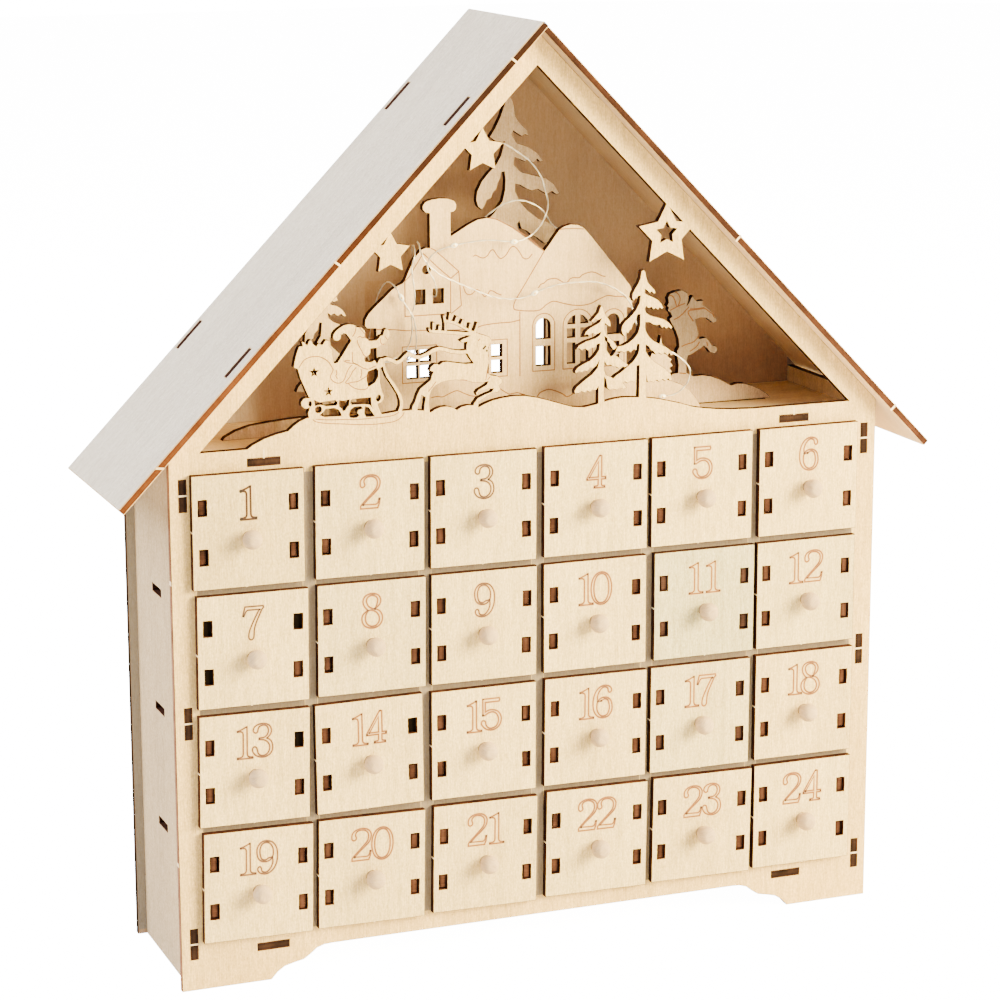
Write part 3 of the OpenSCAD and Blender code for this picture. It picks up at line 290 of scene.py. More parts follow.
# Char for burnt edges; also the painted shade closing empty slots and the painted shadow on the floor at the forest
# plate's foot.
M_CHAR_AND_SHADE = plain("char_and_painted_shade", (0.006, 0.004, 0.003), 1.0, 0.0, 0.0, 0.2)
M_NICK = veneer("raw_nick", (0.62, 0.46, 0.28), (0.74, 0.58, 0.38), (0.80, 0.66, 0.46), 0.8)
M_LINE = plain("engraved_line", (0.190, 0.076, 0.028), 0.9, var=0.22, scale=900)
M_LINE2 = plain("engraved_house_line", (0.230, 0.098, 0.036), 0.9, var=0.22, scale=700)
# Dark engraved lines; also the painted shadow of the joint under the right roof panel.
M_LINE_DK_AND_JOINT_SHADOW = plain("engraved_line_dark_and_joint_shadow", (0.034, 0.014, 0.008), 0.9, var=0.35, scale=900)
M_LINE_GY = plain("engraved_line_grey", (0.075, 0.036, 0.022), 0.9, var=0.35, scale=900)
M_LINE_MID = plain("engraved_line_mid", (0.125, 0.054, 0.026), 0.9, var=0.30, scale=900)
M_DOT = plain("beam_dwell", (0.050, 0.020, 0.012), 0.9, var=0.3)
M_DOT_DK = plain("beam_dwell_dark", (0.014, 0.008, 0.006), 0.9, var=0.3)
M_KNOB = veneer("turned_knob", *family((0.51, 0.380, 0.245), 0.88, 1.08), 1.6, 0.62)
M_WIRE = plain("silver_wire", (0.62, 0.57, 0.50), 0.32, 0.70, 0.5, 0.05)
M_DROP = plain("clear_drop", (0.93, 0.88, 0.76), 0.10, 0.0, 0.7, 0.02)
M_CHIP = plain("led_chip", (0.90, 0.62, 0.16), 0.35, 0.0, 0.5, 0.05)
M_PLASTIC = plain("white_plastic", (0.80, 0.80, 0.77), 0.42, 0.0, 0.5, 0.015, 1500, 0.00003)
M_BLACK = plain("black_plastic", (0.03, 0.03, 0.032), 0.40, 0.0, 0.5, 0.1, 1500, 0.00003)
M_STEEL = plain("cell_steel", (0.62, 0.62, 0.63), 0.25, 1.0, 0.5, 0.05)
M_BRASS = plain("contact_brass", (0.62, 0.50, 0.26), 0.3, 1.0, 0.5, 0.06)


# ------------------------------------------------------------------ mesh tools
def set_attrs(me, grain, cross, normal, tint=(1, 1, 1), offset=None, mid=0.0):
    """Writes the wood coordinates and the tint. grain, cross, normal are unit vectors in the row frame."""
    off = offset or Vector((rng.uniform(-900, 900), rng.uniform(-900, 900), rng.uniform(-50, 50) * 0))
    me.attributes.new("gc", 'FLOAT_VECTOR', 'POINT')
    me.attributes.new("tn", 'FLOAT_COLOR', 'POINT')
    a, t = me.attributes["gc"], me.attributes["tn"]
    g, c, n = Vector(grain), Vector(cross), Vector(normal)
    gv, tv = [], []
    for v in me.vertices:
        p = v.co * 1000
        gv += [p.dot(g) + off.x, p.dot(c) + off.y, p.dot(n) - mid]
        k = tint(p) if callable(tint) else tint
        tv += [k[0], k[1], k[2], 1.0]
    a.data.foreach_set("vector", gv)
    t.data.foreach_set("color", tv)


def join_meshes(name, meshes):
    """One mesh from several, keeping each one's materials and attributes."""
    obs = []
    for me in meshes:
        o = bpy.data.objects.new(name, me)
        scene.collection.objects.link(o)
        obs.append(o)
    if len(obs) > 1:
        with bpy.context.temp_override(active_object=obs[0], object=obs[0], selected_objects=obs, selected_editable_objects=obs):
            bpy.ops.object.join()
    ob = obs[0]
    ob.name = name
    ob.data.name = name
    return ob


def sheet_mesh(name, loops, t=3.0, bev=0.16, slots=(None, None), rim=None, back=None, pick=None, more=()):
    """A sheet from closed loops in mm, lying in local XY, centred on z = 0, with its rims rounded by bev."""
    cu = bpy.data.curves.new(name, 'CURVE')
    cu.dimensions = '2D'
    cu.fill_mode = 'BOTH'
    cu.extrude = t / 2 - bev
    cu.bevel_depth = bev
    cu.bevel_resolution = 0
    cu.offset = -bev
    for lp in loops:
        sp = cu.splines.new('POLY')
        sp.points.add(len(lp) - 1)
        for i, p in enumerate(lp):
            sp.points[i].co = (p[0], p[1], 0, 1)
        sp.use_cyclic_u = True
    ob = bpy.data.objects.new(name, cu)
    scene.collection.objects.link(ob)
    dg = bpy.context.evaluated_depsgraph_get()
    me = bpy.data.meshes.new_from_object(ob.evaluated_get(dg))
    bpy.data.objects.remove(ob)
    bpy.data.curves.remove(cu)
    me.materials.clear()
    for m in (slots[0], slots[1], rim or M_RIM, back or slots[0]) + tuple(more):
        me.materials.append(m)
    bm = bmesh.new()
    bm.from_mesh(me)
    bmesh.ops.remove_doubles(bm, verts=bm.verts, dist=1e-4)
    bmesh.ops.recalc_face_normals(bm, faces=bm.faces)
    bm.normal_update()
    for f in bm.faces:
        z = f.normal.z
        f.material_index = 0 if z > 0.9 else 3 if z < -0.9 else 1 if abs(z) < 0.3 else 2
        if pick:
            k = pick(f.calc_center_median(), f.normal)
            if k is not None:
                f.material_index = k
        f.smooth = False
    bm.to_mesh(me)
    bm.free()
    return me


def place(me, x, y, z, at):
    """Moves a local mesh in mm to the row frame: columns x, y, z, and the point at (mm)."""
    m = Matrix((Vector(x), Vector(y), Vector(z))).transposed().to_4x4()
    m.translation = Vector(at)
    me.transform(Matrix.Scale(MM, 4) @ m)
    if m.determinant() < 0:
        me.flip_normals()
    return me


def node_loops(node, n, u, v):
    """The outline loops of a CAD sheet's face towards n, in mm along u and v, and the face's distance along n."""
    bm = bmesh.new()
    bm.from_mesh(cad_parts[node].data)
    bmesh.ops.remove_doubles(bm, verts=bm.verts, dist=2e-6)
    bm.normal_update()
    n, u, v = Vector(n).normalized(), Vector(u), Vector(v)
    d = max(w.co.dot(n) for w in bm.verts)
    fs = set(f for f in bm.faces if f.normal.dot(n) > 0.99 and abs(f.calc_center_median().dot(n) - d) < 1e-4)
    be = [e for e in bm.edges if sum(1 for f in e.link_faces if f in fs) == 1]
    nv = {}
    for e in be:
        for w in e.verts:
            nv.setdefault(w, []).append(e)
    used, out = set(), []
    for e in be:
        if e in used:
            continue
        used.add(e)
        a, cur = e.verts
        loop = [a]
        while cur != a:
            loop.append(cur)
            nx = [x for x in nv[cur] if x not in used]
            if not nx:
                break
            used.add(nx[0])
            cur = nx[0].other_vert(cur)
        pts = [(w.co.dot(u) * 1000, w.co.dot(v) * 1000) for w in loop]
        # drop points on straight runs
        keep = []
        k = len(pts)
        for i in range(k):
            p, q, r = Vector(pts[i - 1]), Vector(pts[i]), Vector(pts[(i + 1) % k])
            if abs((q - p).normalized().cross((r - q).normalized())) > 1e-3:
                keep.append(pts[i])
        out.append(keep)
    bm.free()
    return out, d * 1000


def add_piece(ob, body, nodes):
    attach(ob, body)
    if nodes:
        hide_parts(*nodes)
    return ob


X, Y, Z = Vector((1, 0, 0)), Vector((0, 1, 0)), Vector((0, 0, 1))


def smooth_line(pts, closed=False, step=0.6):
    """Catmull-Rom through given points."""
    P = [Vector(p) for p in pts]
    n = len(P)
    if n < 3:
        return P
    out = []
    segs = n if closed else n - 1
    for i in range(segs):
        p1, p2 = P[i], P[(i + 1) % n]
        p0 = P[i - 1] if (closed or i > 0) else p1 - (p2 - p1)
        p3 = P[(i + 2) % n] if (closed or i + 2 < n) else p2 + (p2 - p1)
        k = max(2, int((p2 - p1).length / step))
        for j in range(k):
            t = j / k
            out.append(0.5 * ((2 * p1) + (p2 - p0) * t + (2 * p0 - 5 * p1 + 4 * p2 - p3) * t * t + (3 * p1 - p0 - 3 * p2 + p3) * t ** 3))
    if not closed:
        out.append(P[-1])
    return out


def ribbon(bm, pts, w, closed=False, lift=0.02, mat=0):
    """A flat engraved line of width w (mm) in local XY, lift above the face."""
    P = [Vector(p).to_2d() for p in pts]
    n = len(P)
    if n < 2:
        return
    L, R = [], []
    for i in range(n):
        a = P[i - 1] if (closed or i > 0) else None
        b = P[(i + 1) % n] if (closed or i < n - 1) else None
        d1 = (P[i] - a).normalized() if a is not None and (P[i] - a).length > 1e-9 else None
        d2 = (b - P[i]).normalized() if b is not None and (b - P[i]).length > 1e-9 else None
        d = (d1 or d2) + (d2 or d1) if (d1 or d2) else Vector((1, 0))
        if d.length < 1e-3:
            d = Vector((-(d1 or d2).y, (d1 or d2).x))
        d.normalize()
        nrm = Vector((-d.y, d.x))
        k = 1.0
        if d1 is not None and d2 is not None:
            k = 1.0 / max(0.55, abs(nrm.dot(Vector((-d1.y, d1.x)))))
        L.append(P[i] + nrm * w / 2 * k)
        R.append(P[i] - nrm * w / 2 * k)
    vl = [bm.verts.new((p.x, p.y, lift)) for p in L]
    vr = [bm.verts.new((p.x, p.y, lift)) for p in R]
    m = n if closed else n - 1
    for i in range(m):
        j = (i + 1) % n
        f = bm.faces.new((vr[i], vr[j], vl[j], vl[i]))
        f.material_index = mat


def dot(bm, x, y, r, lift=0.03, mat=0, k=10):
    vs = [bm.verts.new((x + r * math.cos(2 * math.pi * i / k), y + r * math.sin(2 * math.pi * i / k), lift)) for i in range(k)]
    f = bm.faces.new(vs)
    f.material_index = mat


def lines_mesh(name, draw, slots):
    bm = bmesh.new()
    draw(bm)
    bm.normal_update()
    for f in bm.faces:
        if f.normal.z < 0:
            f.normal_flip()
    me = bpy.data.meshes.new(name)
    bm.to_mesh(me)
    bm.free()
    for m in slots:
        me.materials.append(m)
    return me


# ------------------------------------------------------------------ house panels
def panel(name, node, n, u, v, grain, face_mat, edge_mat, tint=(1, 1, 1), extra=None, offset=None, t=3.0, body="house", bev=0.16,
          rim=None, back=None, pick=None, more=()):
    """Rebuilds a CAD sheet with rounded, burnt rims. extra holds more meshes in the sheet's local frame (mm)."""
    n, u, v = Vector(n), Vector(u), Vector(v)
    loops, d = node_loops(node, n, u, v)
    me = sheet_mesh(name, loops, t, bev, (face_mat, edge_mat), rim, back, pick, more)
    mid = d - t / 2
    place(me, u, v, n, n * mid)
    grain = Vector(grain)
    cross = n.cross(grain)
    off = offset or Vector((rng.uniform(-900, 900), rng.uniform(-900, 900), 0))
    set_attrs(me, grain, cross, n, tint, off, mid)
    meshes = [me]
    for e in (extra or []):
        place(e, u, v, n, n * d)
        set_attrs(e, grain, cross, n, tint, off, mid)
        meshes.append(e)
    ob = join_meshes(name, meshes)
    add_piece(ob, body, [node])
    return ob


def box_mesh(name, x0, x1, y0, y1, z0, z1, mat):
    bm = bmesh.new()
    vs = [bm.verts.new((x, y, z)) for z in (z0, z1) for y in (y0, y1) for x in (x0, x1)]
    for q in ((0, 2, 3, 1), (4, 5, 7, 6), (0, 1, 5, 4), (2, 6, 7, 3), (0, 4, 6, 2), (1, 3, 7, 5)):
        bm.faces.new([vs[i] for i in q])
    me = bpy.data.meshes.new(name)
    bm.to_mesh(me)
    bm.free()
    me.materials.append(mat)
    return me


def side_edge(c, n):
    """The facade's own left edge is only lightly scorched."""
    return 4 if n.x < -0.9 and c.x < -149 else None


INNER = 1000 * min(v.co.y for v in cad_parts["back_panel"].data.vertices)


def front_end(sign, axis):
    """The ends of a board's tabs, where they stand in the facade's slots."""
    return lambda c, n: 4 if sign * n[axis] > 0.9 and sign * c[axis] > YM - 1.5 else None


def build_house():
    # facade: local x = X, y = Z, normal -Y
    panel("facade", "front_panel", -Y, X, Z, Z, M_FACE, M_EDGE, extra=facade_lines(), pick=side_edge, more=(M_EDGE_PALE,), back=M_IN_SHADED)
    panel("back_wall", "back_panel", -Y, X, Z, Z, M_IN_SHADED, M_EDGE, back=M_WALL, pick=side_edge, more=(M_CHAR_AND_SHADE,), extra=back_strip(), tint=wall_light)
    panel("wall_left", "side_wall_left", -X, -Y, Z, Z, M_WALL, M_EDGE, back=M_IN_SHADED, pick=front_end(1, 0), more=(M_END,))
    panel("wall_right", "side_wall_right", X, Y, Z, Z, M_WALL, M_EDGE, back=M_SCENE, pick=front_end(-1, 0), more=(M_END,))
    for node, nm in (("base_board", "base"), ("scene_floor", "scene_floor_board"), ("shelf_lower", "shelf_1"), ("shelf_middle", "shelf_2"), ("shelf_upper", "shelf_3")):
        # The scene floor board takes a painted light and shade tint: brighter towards the left end, darker towards the
        # right.
        panel(nm, node, Z, X, Y, X, M_SCENE if nm == "scene_floor_board" else M_IN_SHADED, M_EDGE, bev=0.08, extra=floor_slot() if nm == "scene_floor_board" else None,
              tint=(lambda p: shade((1, 1, 1), 1.12 - 0.0008 * p.x)) if nm == "scene_floor_board" else (1, 1, 1), pick=front_end(-1, 1), more=(M_END,))
    for i in range(1, 6):
        panel("upright_%d" % i, "divider_%d" % i, -X, -Y, Z, Z, M_FACE, M_EDGE, bev=0.08)
    a = math.radians(45.8)
    ul = Vector((math.cos(a), 0, math.sin(a)))
    nl = Vector((-math.sin(a), 0, math.cos(a)))
    panel("roof_left", "roof_panel_left", nl, -Y, ul, ul, M_ROOF, M_EDGE_ROOF, offset=Vector((0, 40, 0)), back=M_UNDER_SHADED, rim=M_RIM_ROOF, bev=0.38, extra=roof_marks(0))
    ur = Vector((-math.cos(a), 0, math.sin(a)))
    nr = Vector((math.sin(a), 0, math.cos(a)))
    low = 1000 * min(v.co.dot(nr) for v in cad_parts["roof_panel_right"].data.vertices) + 1.5
    # The right roof's underside takes painted light and shade: dark near the ridge, brighter towards the eave.
    panel("roof_right", "roof_panel_right", nr, Y, ur, ur, M_ROOF, M_EDGE_DARK, offset=Vector((0, 90, 0)), back=M_UNDER_SHADED, rim=M_RIM_ROOF, bev=0.38, extra=roof_marks(1),
          tint=lambda p: shade((1, 1, 1), 0.60 + 0.0056 * p.x if p.dot(nr) < low else 1.0))
    panel("cottage", "cottage_plate", -Y, X, Z, Z, M_SCENE, M_EDGE, extra=cottage_lines(), back=M_IN_SHADED)
    # The forest plate takes painted light and shade: bright at its foot, darker above it, a little lighter again
    # towards the treetops.
    panel("forest", "forest_plate", -Y, X, Z, Z, M_FOREST_SHADED, M_EDGE, tint=lambda p: shade((1, 1, 1), 1.15 - 0.45 * min(1, max(0, (p.z - 218) / 12)) + 0.12 * min(1, max(0, (p.z - 250) / 40))), extra=forest_lines(), back=M_IN_SHADED)


def floor_slot():
    # Painted shadow: a near-black strip on the floor along the foot of the forest plate's right snow mound.
    return [lines_mesh("floor_slot", lambda bm: ribbon(bm, [Vector((84.8, 35.1 - YM)), Vector((116.6, 34.8 - YM))], 1.5, False, 0.03), (M_CHAR_AND_SHADE,))]


def wall_light(p):
    """Painted light and shade on the gable wall behind the scene: brighter and paler in the lower left corner, brighter
    and warmer in the lower right one.
    """
    if p.y > INNER - 0.015 or p.z < 211:
        return (1, 1, 1)
    a = min(1, max(0, (-25 - p.x) / 85)) * min(1, max(0, (300 - p.z) / 60))
    b = min(1, max(0, (p.x - 45) / 60)) * min(1, max(0, (290 - p.z) / 60))
    return (1 + 0.55 * a + 0.30 * b, 1 + 0.88 * a + 0.14 * b, 1 + 1.40 * a - 0.10 * b)


def back_strip():
    """The back panel's margin outside the left wall, with painted shade that makes it greyer and darker than the wood
    inside, and a fine grid of squares over the gable wall that carries the painted light and shade of its tint.
    """
    def gable(bm):
        step = 6.0
        for i in range(-24, 24):
            for j in range(0, 27):
                x0, x1 = max(-143.2, i * step), min(143.2, (i + 1) * step)
                z0 = 211.6 + j * step
                z1 = z0 + step
                if x1 > -44 and x0 < 44 and z0 < 262:
                    continue
                # cut off along the roof's underside
                a, b = 369.4 - 1.0283 * abs(x0), 369.4 - 1.0283 * abs(x1)
                if max(a, b) < z0 + 0.05:
                    continue
                bm.faces.new([bm.verts.new(v) for v in ((x0, min(z0, a), 0.03), (x1, min(z0, b), 0.03), (x1, min(z1, b), 0.03), (x0, min(z1, a), 0.03))])
        bmesh.ops.remove_doubles(bm, verts=bm.verts, dist=0.005)
    def draw(bm):
        vs = [bm.verts.new(v) for v in ((-149.8, 2, 0.03), (-146.4, 2, 0.03), (-146.4, 198, 0.03), (-149.8, 198, 0.03))]
        bm.faces.new(vs)
    return [lines_mesh("back_strip", draw, (M_STRIP_SHADE,)), lines_mesh("gable_wall", gable, (M_IN_SHADED,))]


def roof_marks(side):
    """Uncut nicks on the front edge of a roof panel, at distances along the slope from the eave."""
    front = -38.5 + 32.0 - YM if side else 6.5 + YM
    out = []
    for d, turn in (((22.0, 38), (124.0, 6), (227.0, 6)), ((22.5, 0), (125.0, 0)))[side]:
        me = box_mesh("nick", -0.35, 0.07, -0.42, 0.42, -1.62, 1.62, M_NICK)
        if side:
            me.transform(Matrix.Scale(-1, 4, X))
            me.flip_normals()
        me.transform(Matrix.Rotation(math.radians(turn), 4, 'X'))
        me.transform(Matrix.Translation((front, 21.88 + d, -1.5)))
        out.append(me)
    return out


# ------------------------------------------------------------------ engraved line work
SLEIGH = [
    # rim of the sleigh
    [(-97.75, 245.2), (-97.1, 246.3), (-95.7, 248), (-93.6, 248.9), (-91.5, 249.1), (-89.4, 248.8), (-87.3, 247.7), (-85.9, 246.5), (-84.8, 244.8), (-84.2, 243.4),
     (-84.8, 242.1), (-85.3, 241.1), (-85, 239.8), (-84, 238.8), (-82.7, 238.2), (-81.3, 238.2), (-80, 239), (-79.2, 240.7), (-78.6, 242.3), (-77.5, 244), (-76.5, 244.8)],
    # rider: fold, leg, seat, knee
    [(-83, 243.4), (-82.7, 241.9), (-83.2, 241.1), (-82.5, 239.8)],
    [(-74.8, 243.8), (-75.7, 243), (-76.7, 241.7), (-77.3, 240.5), (-78.6, 239), (-79.2, 238.4), (-79, 237.8), (-78, 237.8), (-76.5, 238.1), (-74.4, 238.2),
     (-72.7, 239), (-71.1, 239.8), (-70, 240.7)],
    [(-78.2, 237.7), (-76.9, 236.5), (-75.2, 235.5), (-73.2, 235), (-71.1, 235), (-70.2, 235.7)],
    [(-73, 243), (-72.7, 241.5), (-73, 240.2), (-73.4, 239.4)],
    # belt, arm, coat, beard, hat band, face, hands
    [(-80, 246.7), (-78.6, 245.9), (-76.9, 245.5), (-75.2, 245.2), (-73.6, 244.2), (-71.9, 243.2), (-70.2, 242.7)],
    [(-79.4, 246.7), (-77.3, 246.5)],
    [(-76.4, 249.8), (-76.4, 247.3), (-76.1, 245.7), (-74.8, 244.8)],
    [(-74.3, 254.4), (-74.2, 253.2), (-73.4, 251.5), (-72.5, 249.8), (-71.7, 248.2), (-70.9, 247.7)],
    [(-74.8, 259.2), (-75.2, 257.3), (-76.3, 255.7)],
    [(-73.4, 259.2), (-72.5, 258), (-71.1, 256.1), (-71.9, 255), (-73.2, 255.7), (-74.2, 255.2)],
    [(-64.8, 254.4), (-65, 253.2), (-64.4, 252.1), (-63.4, 251.9)],
    [(-63, 255), (-62.1, 253.6)],
    [(-69.8, 242.7), (-68.6, 243.2), (-66.9, 243.8)],
    # runner
    [(-92.7, 224.8), (-91.9, 224), (-90.2, 223.4), (-86.5, 222.7), (-80.7, 222.1), (-74.8, 221.4), (-68.6, 221), (-64.4, 221.1), (-60.2, 221.4), (-57.7, 222.3),
     (-56.1, 223.8), (-55.6, 224.8)],
    [(-91.5, 224.8), (-87.3, 224.2), (-80.7, 223.8), (-74.8, 223.4), (-66.5, 223.5), (-62.3, 223.6), (-59.8, 224), (-57.7, 225)],
]
DEER = [
    [(-21, 239.7), (-21.4, 237.2), (-21.8, 234.9)],
    [(-19.9, 236.3), (-21, 235.1)],
    [(-32.4, 235.9), (-29.5, 235.5)],
    [(-42.4, 235.9), (-44.1, 233.8), (-45.7, 232.2)],
    [(-22.8, 247.4), (-22.3, 247.8), (-21.8, 248.2)],
]
CHILD = [
    # hood, scarf, arm, hem, leg, boot
    [(72.6, 257.4), (74.1, 257), (75.1, 255.5), (75.7, 253.8), (76, 252.6)],
    [(75.3, 258.6), (76.6, 257.8), (77.6, 255.9), (77.4, 254.2), (76.6, 252.6)],
    [(73.2, 251.1), (75.3, 252), (77.8, 253), (79.9, 253.6)],
    [(74.9, 247.2), (76.6, 247.8), (78.7, 249.2), (80.3, 250.7), (81.6, 252)],
    [(82, 251.1), (85.3, 251.1), (88.7, 251.3)],
    [(81.2, 250.1), (82, 250.5), (85.3, 250.7), (88.7, 250.9), (90.3, 249.9), (92.4, 248.4), (93, 247.2)],
    [(81.2, 250.1), (81.6, 248.8), (82.8, 247.2), (83.7, 245.9)],
    [(78.5, 235.7), (80.7, 236.5), (83.7, 237.2), (85.7, 238.8), (86.6, 239.2)],
    [(86.6, 237.2), (85.5, 235.5), (83.7, 234.2), (82.2, 233.4)],
    [(89.9, 237), (90.3, 235.1)],
    [(77.6, 224.7), (80.7, 224.2)],
]


def draw_lines(bm, lines, w):
    for pts in lines:
        ribbon(bm, smooth_line(pts, False, 0.5), w)


def nick(x0, x1, y0, y1, z0=-2.9, z1=-0.3):
    """An uncut sliver of pale wood, in the sheet's local frame."""
    return box_mesh("nick", x0, x1, y0, y1, z0, z1, M_NICK)


def bars(bm):
    """Painted shade on the facade between the drawer openings, where the fronts shadow it, darker still under the
    fronts.
    """
    def quad(x0, x1, z0, z1, m=0):
        f = bm.faces.new([bm.verts.new(v) for v in ((x0, z0, 0.02), (x1, z0, 0.02), (x1, z1, 0.02), (x0, z1, 0.02))])
        f.material_index = m
    for i in range(-2, 3):
        quad(47.6 * i - 2.5, 47.6 * i + 2.5, 41.7 - 21.9, 184.5 + 20.1)
    rows = [184.5, 137.0, 89.3, 41.7]
    for a, b in zip(rows, rows[1:]):
        for c in range(6):
            x = 47.6 * (c - 2.5)
            quad(x - 21.1, x + 21.1, b + 20.4, a - 22.2, 1)


def facade_lines():
    def draw(bm):
        draw_lines(bm, SLEIGH, 0.40)
        draw_lines(bm, DEER, 0.40)
        ribbon(bm, [Vector((-24.9, 250.8)), Vector((-24.1, 251.5))], 0.5, False, 0.03, 0)
        ribbon(bm, [Vector((-22.9, 247.3)), Vector((-21.7, 248.6))], 0.75, False, 0.03, 1)
        dot(bm, -21.3, 246.6, 0.45, 0.03, 1)
        # painted shadow of the joint under the right roof panel: a dark line on the facade along its right slope
        ribbon(bm, [Vector((4.5, 365.2)), Vector((60, 308.2)), Vector((110, 256.8)), Vector((148.6, 217.1))], 0.50, False, 0.03, 2)
    return [lines_mesh("facade_lines", draw, (M_LINE2, M_DOT_DK, M_LINE_DK_AND_JOINT_SHADOW)), lines_mesh("facade_painted_gap_shade", bars, (M_GAP_SHADE, M_GAP_SHADE_UNDER)),
            nick(-150.08, -149.6, 164.3, 165.9), nick(-150.08, -149.6, 51.4, 52.8)] \
        + [nick(x0, x0 + 3.3, z - 0.35, z + 0.35, -0.9, 0.03) for x0 in (-146.45, 143.15) for z in (19.1, 109.2, 199.1)] \
        + [nick(x - 0.35, x + 0.35, 211.2, 214.6, -0.9, 0.03) for x in (-112.4, 112.6)]


COTTAGE = [
    # (closed, width, points)
    (0, .32, [(-13, 296), (-9.6, 294.9), (-7, 293.5), (-4, 291.9), (-1, 290), (2, 288), (4, 286.5), (7.4, 283.6), (10, 281.5)]),
    (0, .32, [(-20, 281), (-19, 281.5), (-17, 280.5), (-15.6, 280.2), (-14, 281), (-12.6, 282.9), (-11.4, 283.1), (-10, 281), (-8.6, 279.6), (-7.4, 279.9),
              (-6, 281), (-4.4, 283.4), (-3.2, 284.1), (-2, 283.6), (-0.8, 282.2), (0, 281), (1, 279.4), (2.2, 278.8), (3.5, 279.1), (5, 280.7)]),
    (0, .32, [(-24.2, 269.6), (-23.6, 267.8), (-22.8, 266.4), (-21, 266), (-19.6, 267), (-18.6, 267.8), (-17, 267), (-16, 265.6), (-15, 264.8), (-13.8, 265.8),
              (-13, 267), (-11.6, 266.8), (-10, 265.8), (-8, 265)]),
    # right roof: eave, snow, cap
    (0, .34, [(10, 281.3), (6.4, 275.8), (2, 269), (-1.4, 263.8), (-2.6, 261.6), (-3, 260), (-2.6, 259), (-1.4, 258.6), (3, 258), (8, 258), (11, 260), (14, 261.2),
              (18, 260.2), (22, 259.2), (26, 258.8), (30, 259.3), (33.6, 260.8), (37, 262), (39, 261.9), (41, 261.5), (43, 261.4), (45, 261), (47, 259.5), (48, 256.6)]),
    (0, .32, [(7.5, 267), (8.8, 268.4), (10, 268.7), (11, 269.6), (12.4, 270.2), (15, 270.3), (17, 269.3), (18.4, 268.5), (20, 268.5), (21, 269.6), (22.4, 270.2),
              (25, 270), (26.2, 270.9), (27.6, 271.5), (30, 272), (32, 271.7), (33.6, 270.9), (35, 270.2), (36.5, 269.8)]),
    (0, .32, [(16.7, 289.7), (19, 289.9), (23, 289.8), (27, 289.4)]),
    # eaves line of the main house, wall corner
    (0, .32, [(-60.3, 254.6), (-54, 254.2), (-48, 253.4), (-40, 253), (-32, 252.6), (-24, 252.2), (-20, 252.2), (-16, 253.4), (-10, 253.9), (-4, 254), (-0.5, 254.6)]),
    (0, .32, [(-0.3, 232), (-0.3, 258)]),
    # dormer
    (0, .32, [(-48.5, 273), (-48.5, 259), (-29.5, 259), (-29.5, 272.8)]),
    (0, .32, [(-48.5, 272.8), (-46.6, 274.6), (-44, 278.6), (-40.8, 283.4)]),
    (0, .32, [(-40.8, 283.4), (-38.8, 281.5), (-35, 277.8), (-29.5, 273)]),
    (0, .32, [(-36.2, 284.6), (-31, 280), (-26, 275.5), (-25, 262), (-29.5, 258.8)]),
    (0, .32, [(-29.5, 272.8), (-26, 275.5)]),
    (0, .32, [(-37.6, 285.2), (-36.2, 284.6)]),
    # bottom snow
    (0, .32, [(-38, 226), (-35.4, 226.3), (-33, 226), (-30, 227.2), (-27, 228), (-23.8, 226.6), (-21, 225.5), (-18, 225)]),
    (0, .32, [(-10, 228.5), (-7.6, 226.6), (-5, 225), (-1.4, 225.4), (2, 224.2)]),
    (0, .32, [(7, 223), (8, 224.4), (9, 225), (12, 225.7), (15, 224.9), (18, 223.5), (20, 222.2), (22.4, 223.1), (24, 224.5)]),
]


def rect_line(x0, z0, x1, z1):
    return [(x0, z0), (x1, z0), (x1, z1), (x0, z1)]


def arch_line(x0, x1, z0, z1):
    r = (x1 - x0) / 2
    c = (x0 + x1) / 2
    return [(x0, z0), (x1, z0)] + [(c + r * math.cos(t * math.pi / 14), z1 - r + r * math.sin(t * math.pi / 14)) for t in range(15)]


def cottage_lines():
    def draw(bm):
        for closed, w, pts in COTTAGE:
            ribbon(bm, smooth_line(pts, closed) if len(pts) > 5 else [Vector(p) for p in pts], w + 0.14, bool(closed))
        for f in (rect_line(-49.8, 232.5, -35.5, 247), rect_line(-20.3, 232.5, -5.7, 247.3)):
            ribbon(bm, f, 0.42, True)
        ribbon(bm, arch_line(5.2, 14.6, 233.5, 256.6), 0.42, True)
        ribbon(bm, arch_line(18.2, 31, 233.5, 257.4), 0.42, True)
        ribbon(bm, arch_line(35.2, 44.8, 233.5, 256.6), 0.42, True)
    return [lines_mesh("cottage_lines", draw, (M_LINE2,))]


def forest_lines():
    return [lines_mesh("forest_lines", lambda bm: draw_lines(bm, CHILD, 0.5), (M_LINE2,))]


build_house()


# ------------------------------------------------------------------ numerals
def bez(p0, p1, p2, p3, k=7):
    out = []
    for i in range(1, k + 1):
        t = i / k
        s = 1 - t
        out.append((s ** 3 * p0[0] + 3 * s * s * t * p1[0] + 3 * s * t * t * p2[0] + t ** 3 * p3[0],
                    s ** 3 * p0[1] + 3 * s * s * t * p1[1] + 3 * s * t * t * p2[1] + t ** 3 * p3[1]))
    return out


def ell(cx, cy, rx, ry, k=40, power=2.0):
    out = []
    for i in range(k):
        t = 2 * math.pi * i / k
        c, s = math.cos(t), math.sin(t)
        out.append((cx + rx * math.copysign(abs(c) ** (2 / power), c), cy + ry * math.copysign(abs(s) ** (2 / power), s)))
    return out


